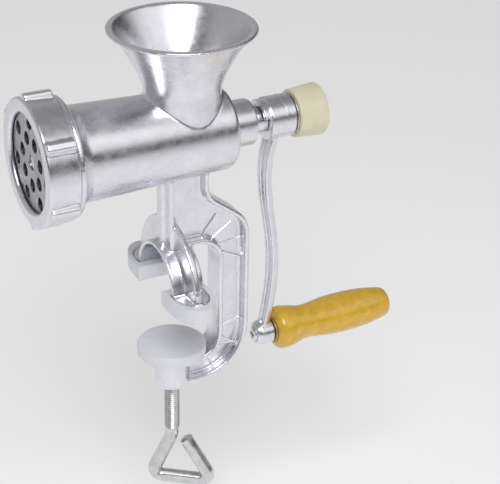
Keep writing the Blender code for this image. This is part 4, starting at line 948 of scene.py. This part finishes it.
def makeRing(name, node, axis, centre, boreR, outerR, edge, finish, body, slotName):
    low, high = span(node)
    start, end = (low.x, high.x) if axis == "X" else (low.z, high.z)
    profile = softened([(start, boreR, edge / 2), (start, outerR, edge), (end, outerR, edge),
                        (end, boreR, edge / 2)],
                       closed=True)
    settle(name, turned(profile, axis, centre, 120), finishes[finish], body, [node])


turnedRings = [
    ("shaftBush", "shaft_bush", "X", (0, axisZ), 8.3, 10.7, 0.4, "nylon", "housing", "nylon"),
    ("thrustWasher", "thrust_washer", "X", (0, axisZ), 8.3, 15.0, 0.3, "nylon", "crankshaft", "nylon"),
    ("thumbWasher", "thumb_washer", "X", (0, axisZ), 4.3, 13.0, 0.25, "zincSteel", "thumb_carrier",
     "zinc_steel"),
    ("gripFerrule", "grip_washer", "X", (0, gripZ), 3.3, 8.6, 0.35, "dullBrass", "crankshaft",
     "dull_brass"),
    ("gripEndWasher", "grip_end_washer", "X", (0, gripZ), 3.3, 6.5, 0.25, "zincSteel", "crankshaft",
     "zinc_steel"),
    ("padDisc", "pad_disc", "Z", (0, 0), 3.3, 19.0, 0.4, "zincSteel", "clamp_pad", "zinc_steel"),
    ("padRetainer", "pad_retainer", "Z", (0, 0), 3.3, 5.6, 0.25, "zincSteel", "clamp", "zinc_steel"),
]
for ring in turnedRings:
    makeRing(*ring)
print("washers and bushes made:", len(turnedRings))

knob = {"rootR": 14.7, "endR": 16.3, "length": 18.6, "crown": 0.8, "edge": 1.6, "boreR": 4.3,
        "boreShare": 0.7, "studR": 4.0}


def makeKnob():
    startX = span("thumb_knob")[0].x
    endX = startX + knob["length"]
    depth = startX + knob["boreShare"] * knob["length"] + gap
    profile = softened([(startX, knob["boreR"], 0.3), (startX, knob["rootR"], 0.9),
                        (endX, knob["endR"], knob["edge"]),
                        (endX + knob["crown"], 0)])
    profile += [(depth, 0), (depth, knob["boreR"])]
    settle("thumbKnob", turned(profile, "X", (0, axisZ), 144), finishes["ivoryPlastic"], "thumb_screw",
           ["thumb_knob"])
    low, high = span("thumb_stud")
    stud = turned(softened([(low.x, 0), (low.x, knob["studR"], 0.6), (high.x, knob["studR"]), (high.x, 0)]),
                  "X", (0, axisZ), 64)
    settle("thumbStud", stud, finishes["zincSteel"], "thumb_screw", ["thumb_stud"])


makeKnob()

grip = {"bulbR": 13.9, "neckR": 11.0, "swellR": 12.9, "endR": 10.5, "boreR": 3.3, "pocketR": 7.2,
        "pocket": 7.0}


def makeGrip():
    g = grip
    low, high = span("grip_handle")
    length = high.x - low.x
    marks = [(0.0, 0.72 * g["bulbR"]), (0.02, 0.92 * g["bulbR"]), (0.07, g["bulbR"]),
             (0.14, 0.95 * g["bulbR"]),
             (0.26, g["neckR"]), (0.50, g["swellR"]), (0.75, 0.98 * g["swellR"]), (0.93, g["endR"]),
             (0.985, 0.87 * g["endR"]), (1.0, 0.72 * g["endR"])]
    outer = [(low.x + share * length, min(radius, g["bulbR"])) for share,
             radius in smoothThrough(marks, 110)]
    profile = [(low.x, g["boreR"]), *outer, (high.x, g["pocketR"]), (high.x - g["pocket"], g["pocketR"]),
               (high.x - g["pocket"], g["boreR"])]
    settle("gripHandle", turned(profile, "X", (0, gripZ), 144), finishes["yellowWood"], "grip",
           ["grip_handle"])
    print("thumb knob and grip made")


makeGrip()


# Jaw shoes: soft plastic caps over the casting's feet

shoe = {"tip": 6.2, "voxel": 0.45, "rounds": 5, "most": 60000}


def makeShoe(name, node, side):
    low, high = span(node)
    tip = shoe["tip"]
    width = high.x - low.x
    outline = footOutline(side, footInner - gap - tip, footOuter + gap + tip, width)
    pocket = footOutline(side, footInner, footOuter, stand["footWidth"], gap)
    mesh = combined(plainMesh(name, slab(outline, "XY", low.z, high.z)), "DIFFERENCE",
                    [slab(pocket, "XY", stand["footZ"] - gap, high.z + 1)])
    settle(name, castSkin(mesh, shoe["voxel"], shoe["rounds"], shoe["most"]), finishes["whitePlastic"],
           "housing", [node], 60)


makeShoe("jawShoeNear", "jaw_shoe_near", -1)
makeShoe("jawShoeFar", "jaw_shoe_far", 1)


# Clamp pad

pad = {"radius": 21.5, "skirt": 2.2, "skin": 3.4, "edge": 1.5, "pocketR": 6.5}


def makePad():
    low, high = span("pad_cover")
    ceiling = span("pad_disc")[1].z + gap
    pocketTop = span("clamp_screw")[1].z + gap
    inner = pad["radius"] - pad["skirt"]
    profile = softened([(high.z, 0), (high.z, pad["radius"], pad["edge"]), (low.z, pad["radius"], 0.8),
                        (low.z, inner, 0.5),
                        (ceiling, inner, 0.5), (ceiling, pad["pocketR"], 0.3),
                        (pocketTop, pad["pocketR"], 0.3),
                        (pocketTop, 0)])
    settle("padCover", turned(profile, "Z", (0, 0), 144), finishes["whitePlastic"], "clamp_pad",
           ["pad_cover"])


makePad()
print("shoes and pad made")


# Clamp screw: rolled thread, then a bent rod for the handle with pressed flats

clamp = {"crestR": 4.8, "rootR": 4.1, "pitch": 1.5, "rodR": 4.4, "tipR": 3.0, "turn": -37, "drop": 38.0,
         "left": 14.3, "right": 26.9, "endReach": 8.6, "endDrop": 6.6, "threadOut": 34.0, "neck": 5.0,
         "neckR": 22.0, "flat": 0.80, "leftR": 5.2, "rightR": 4.8, "sides": 40, "stepLength": 0.9,
         "pressFrom": 0.42, "pressTo": 0.97, "pressIn": 0.06, "pressOut": 0.05}
threadEnd = frameBottom - stand["bossDrop"] - clamp["threadOut"]


def makeThread():
    shoulderZ = span("pad_disc")[0].z - gap
    length = shoulderZ - threadEnd
    tree, given = newTree("rolledThread",
                          [("Length", "Float"), ("Pitch", "Float"), ("Crest Radius", "Float"),
                           ("Root Radius", "Float"), ("Rows", "Int"), ("Sides", "Int")])
    rod = put(tree, "GeometryNodeMeshCylinder",
              [("Vertices", given["Sides"]), ("Side Segments", given["Rows"]),
               ("Radius", given["Crest Radius"]), ("Depth", given["Length"])])["Mesh"]
    spot = put(tree, "ShaderNodeSeparateXYZ", [(0, put(tree, "GeometryNodeInputPosition")[0])])
    turn = calc(tree, "DIVIDE", calc(tree, "ARCTAN2", spot["Y"], spot["X"]), 2 * math.pi)
    phase = calc(tree, "FRACT",
                 calc(tree, "SUBTRACT", calc(tree, "DIVIDE", spot["Z"], given["Pitch"]), turn))
    ridge = calc(tree, "ABSOLUTE", calc(tree, "SUBTRACT", calc(tree, "MULTIPLY", phase, 2.0), 1.0))
    fadeEnd = calc(tree, "SUBTRACT", calc(tree, "DIVIDE", given["Length"], 2.0),
                   calc(tree, "ABSOLUTE", spot["Z"]))
    fade = put(tree, "ShaderNodeMapRange", [("Value", fadeEnd), ("From Min", 0.4), ("From Max", 2.2)])[0]
    crest = put(tree, "ShaderNodeMapRange", [("Value", ridge), ("From Min", 0.15), ("From Max", 0.85)])[0]
    rise = calc(tree, "MULTIPLY", calc(tree, "MULTIPLY", crest, fade),
                calc(tree, "SUBTRACT", given["Crest Radius"], given["Root Radius"]))
    share = calc(tree, "DIVIDE", calc(tree, "ADD", given["Root Radius"], rise), given["Crest Radius"])
    flat = put(tree, "ShaderNodeCombineXYZ", [(0, calc(tree, "MULTIPLY", spot["X"], share)),
                                              (1, calc(tree, "MULTIPLY", spot["Y"], share)),
                                              (2, spot["Z"])])[0]
    shaped = put(tree, "GeometryNodeSetPosition", [("Geometry", rod), ("Position", flat)])[0]
    endTree(tree, shaped, finishes["zincSteel"])
    mesh = grown(bpy.data.meshes.new("empty"), tree,
                 {"Length": length, "Pitch": clamp["pitch"], "Crest Radius": clamp["crestR"],
                  "Root Radius": clamp["rootR"], "Rows": round(10 * length / clamp["pitch"]), "Sides": 40})
    mesh.transform(Matrix.Translation((0, 0, (shoulderZ + threadEnd) / 2)))
    settle("clampThread", mesh, finishes["zincSteel"], "clamp", ["clamp_screw"], 50)
    tip = turned(softened([(shoulderZ - 1, 0), (shoulderZ - 1, clamp["tipR"]),
                           (span("clamp_screw")[1].z, clamp["tipR"], 0.5),
                           (span("clamp_screw")[1].z, 0)]), "Z", (0, 0), 48)
    settle("clampTip", tip, finishes["zincSteel"], "clamp")


def makeHandle():
    c = clamp
    barZ = threadEnd - c["drop"]
    path = softened([(0, threadEnd + 1), (0, threadEnd - c["neck"], c["neckR"]),
                     (-c["left"], barZ, c["leftR"]), (c["right"], barZ, c["rightR"]),
                     (c["endReach"], threadEnd - c["endDrop"])], steps=18)
    fine = [Vector(path[0])]
    for point in path[1:]:    # even steps, so that the flats fade in smoothly
        step = Vector(point) - fine[-1]
        pieces = max(1, round(step.length / c["stepLength"]))
        begin = fine[-1].copy()
        fine += [begin + step * (n + 1) / pieces for n in range(pieces)]
    plane = Vector((math.cos(math.radians(c["turn"])), math.sin(math.radians(c["turn"])), 0))
    up = Vector((0, 0, 1))
    out = plane.cross(up)
    total = len(fine) - 1
    stations = []
    for index, spot in enumerate(fine):
        along = (fine[min(index + 1, total)] - fine[max(index - 1, 0)]).normalized()
        side = plane * -along.y + up * along.x
        reach = index / total
        begun = min(1.0, max(0.0, (reach - c["pressFrom"]) / c["pressIn"]))
        press = begun * min(1.0, max(0.0, (c["pressTo"] - reach) / c["pressOut"]))
        limit = c["rodR"] * (1 - (1 - c["flat"]) * press)
        end = min(1.0, (total - index + 1.2) / 2.2)
        ring = []
        for step in range(c["sides"]):
            a = 2 * math.pi * step / c["sides"]
            depth = max(-limit, min(limit, c["rodR"] * math.sin(a)))
            ring.append(plane * spot.x + up * spot.y
                        + side * c["rodR"] * math.cos(a) * end + out * depth * end)
        stations.append(ring)
    settle("clampHandle", swept(stations), finishes["zincSteel"], "clamp", (), 50)


makeThread()
makeHandle()
print("clamp screw made")


# Parts whose shape stays as it is get their finish

keptParts = {"plate_key_pin": "zincSteel", "cross_knife": "groundSteel", "knife_stud": "zincSteel",
             "grip_axle": "zincSteel", "grip_end_nut": "zincSteel"}
for node, finish in keptParts.items():
    mesh = frame["nodes"][node].data
    mesh.materials.clear()
    mesh.materials.append(finishes[finish])
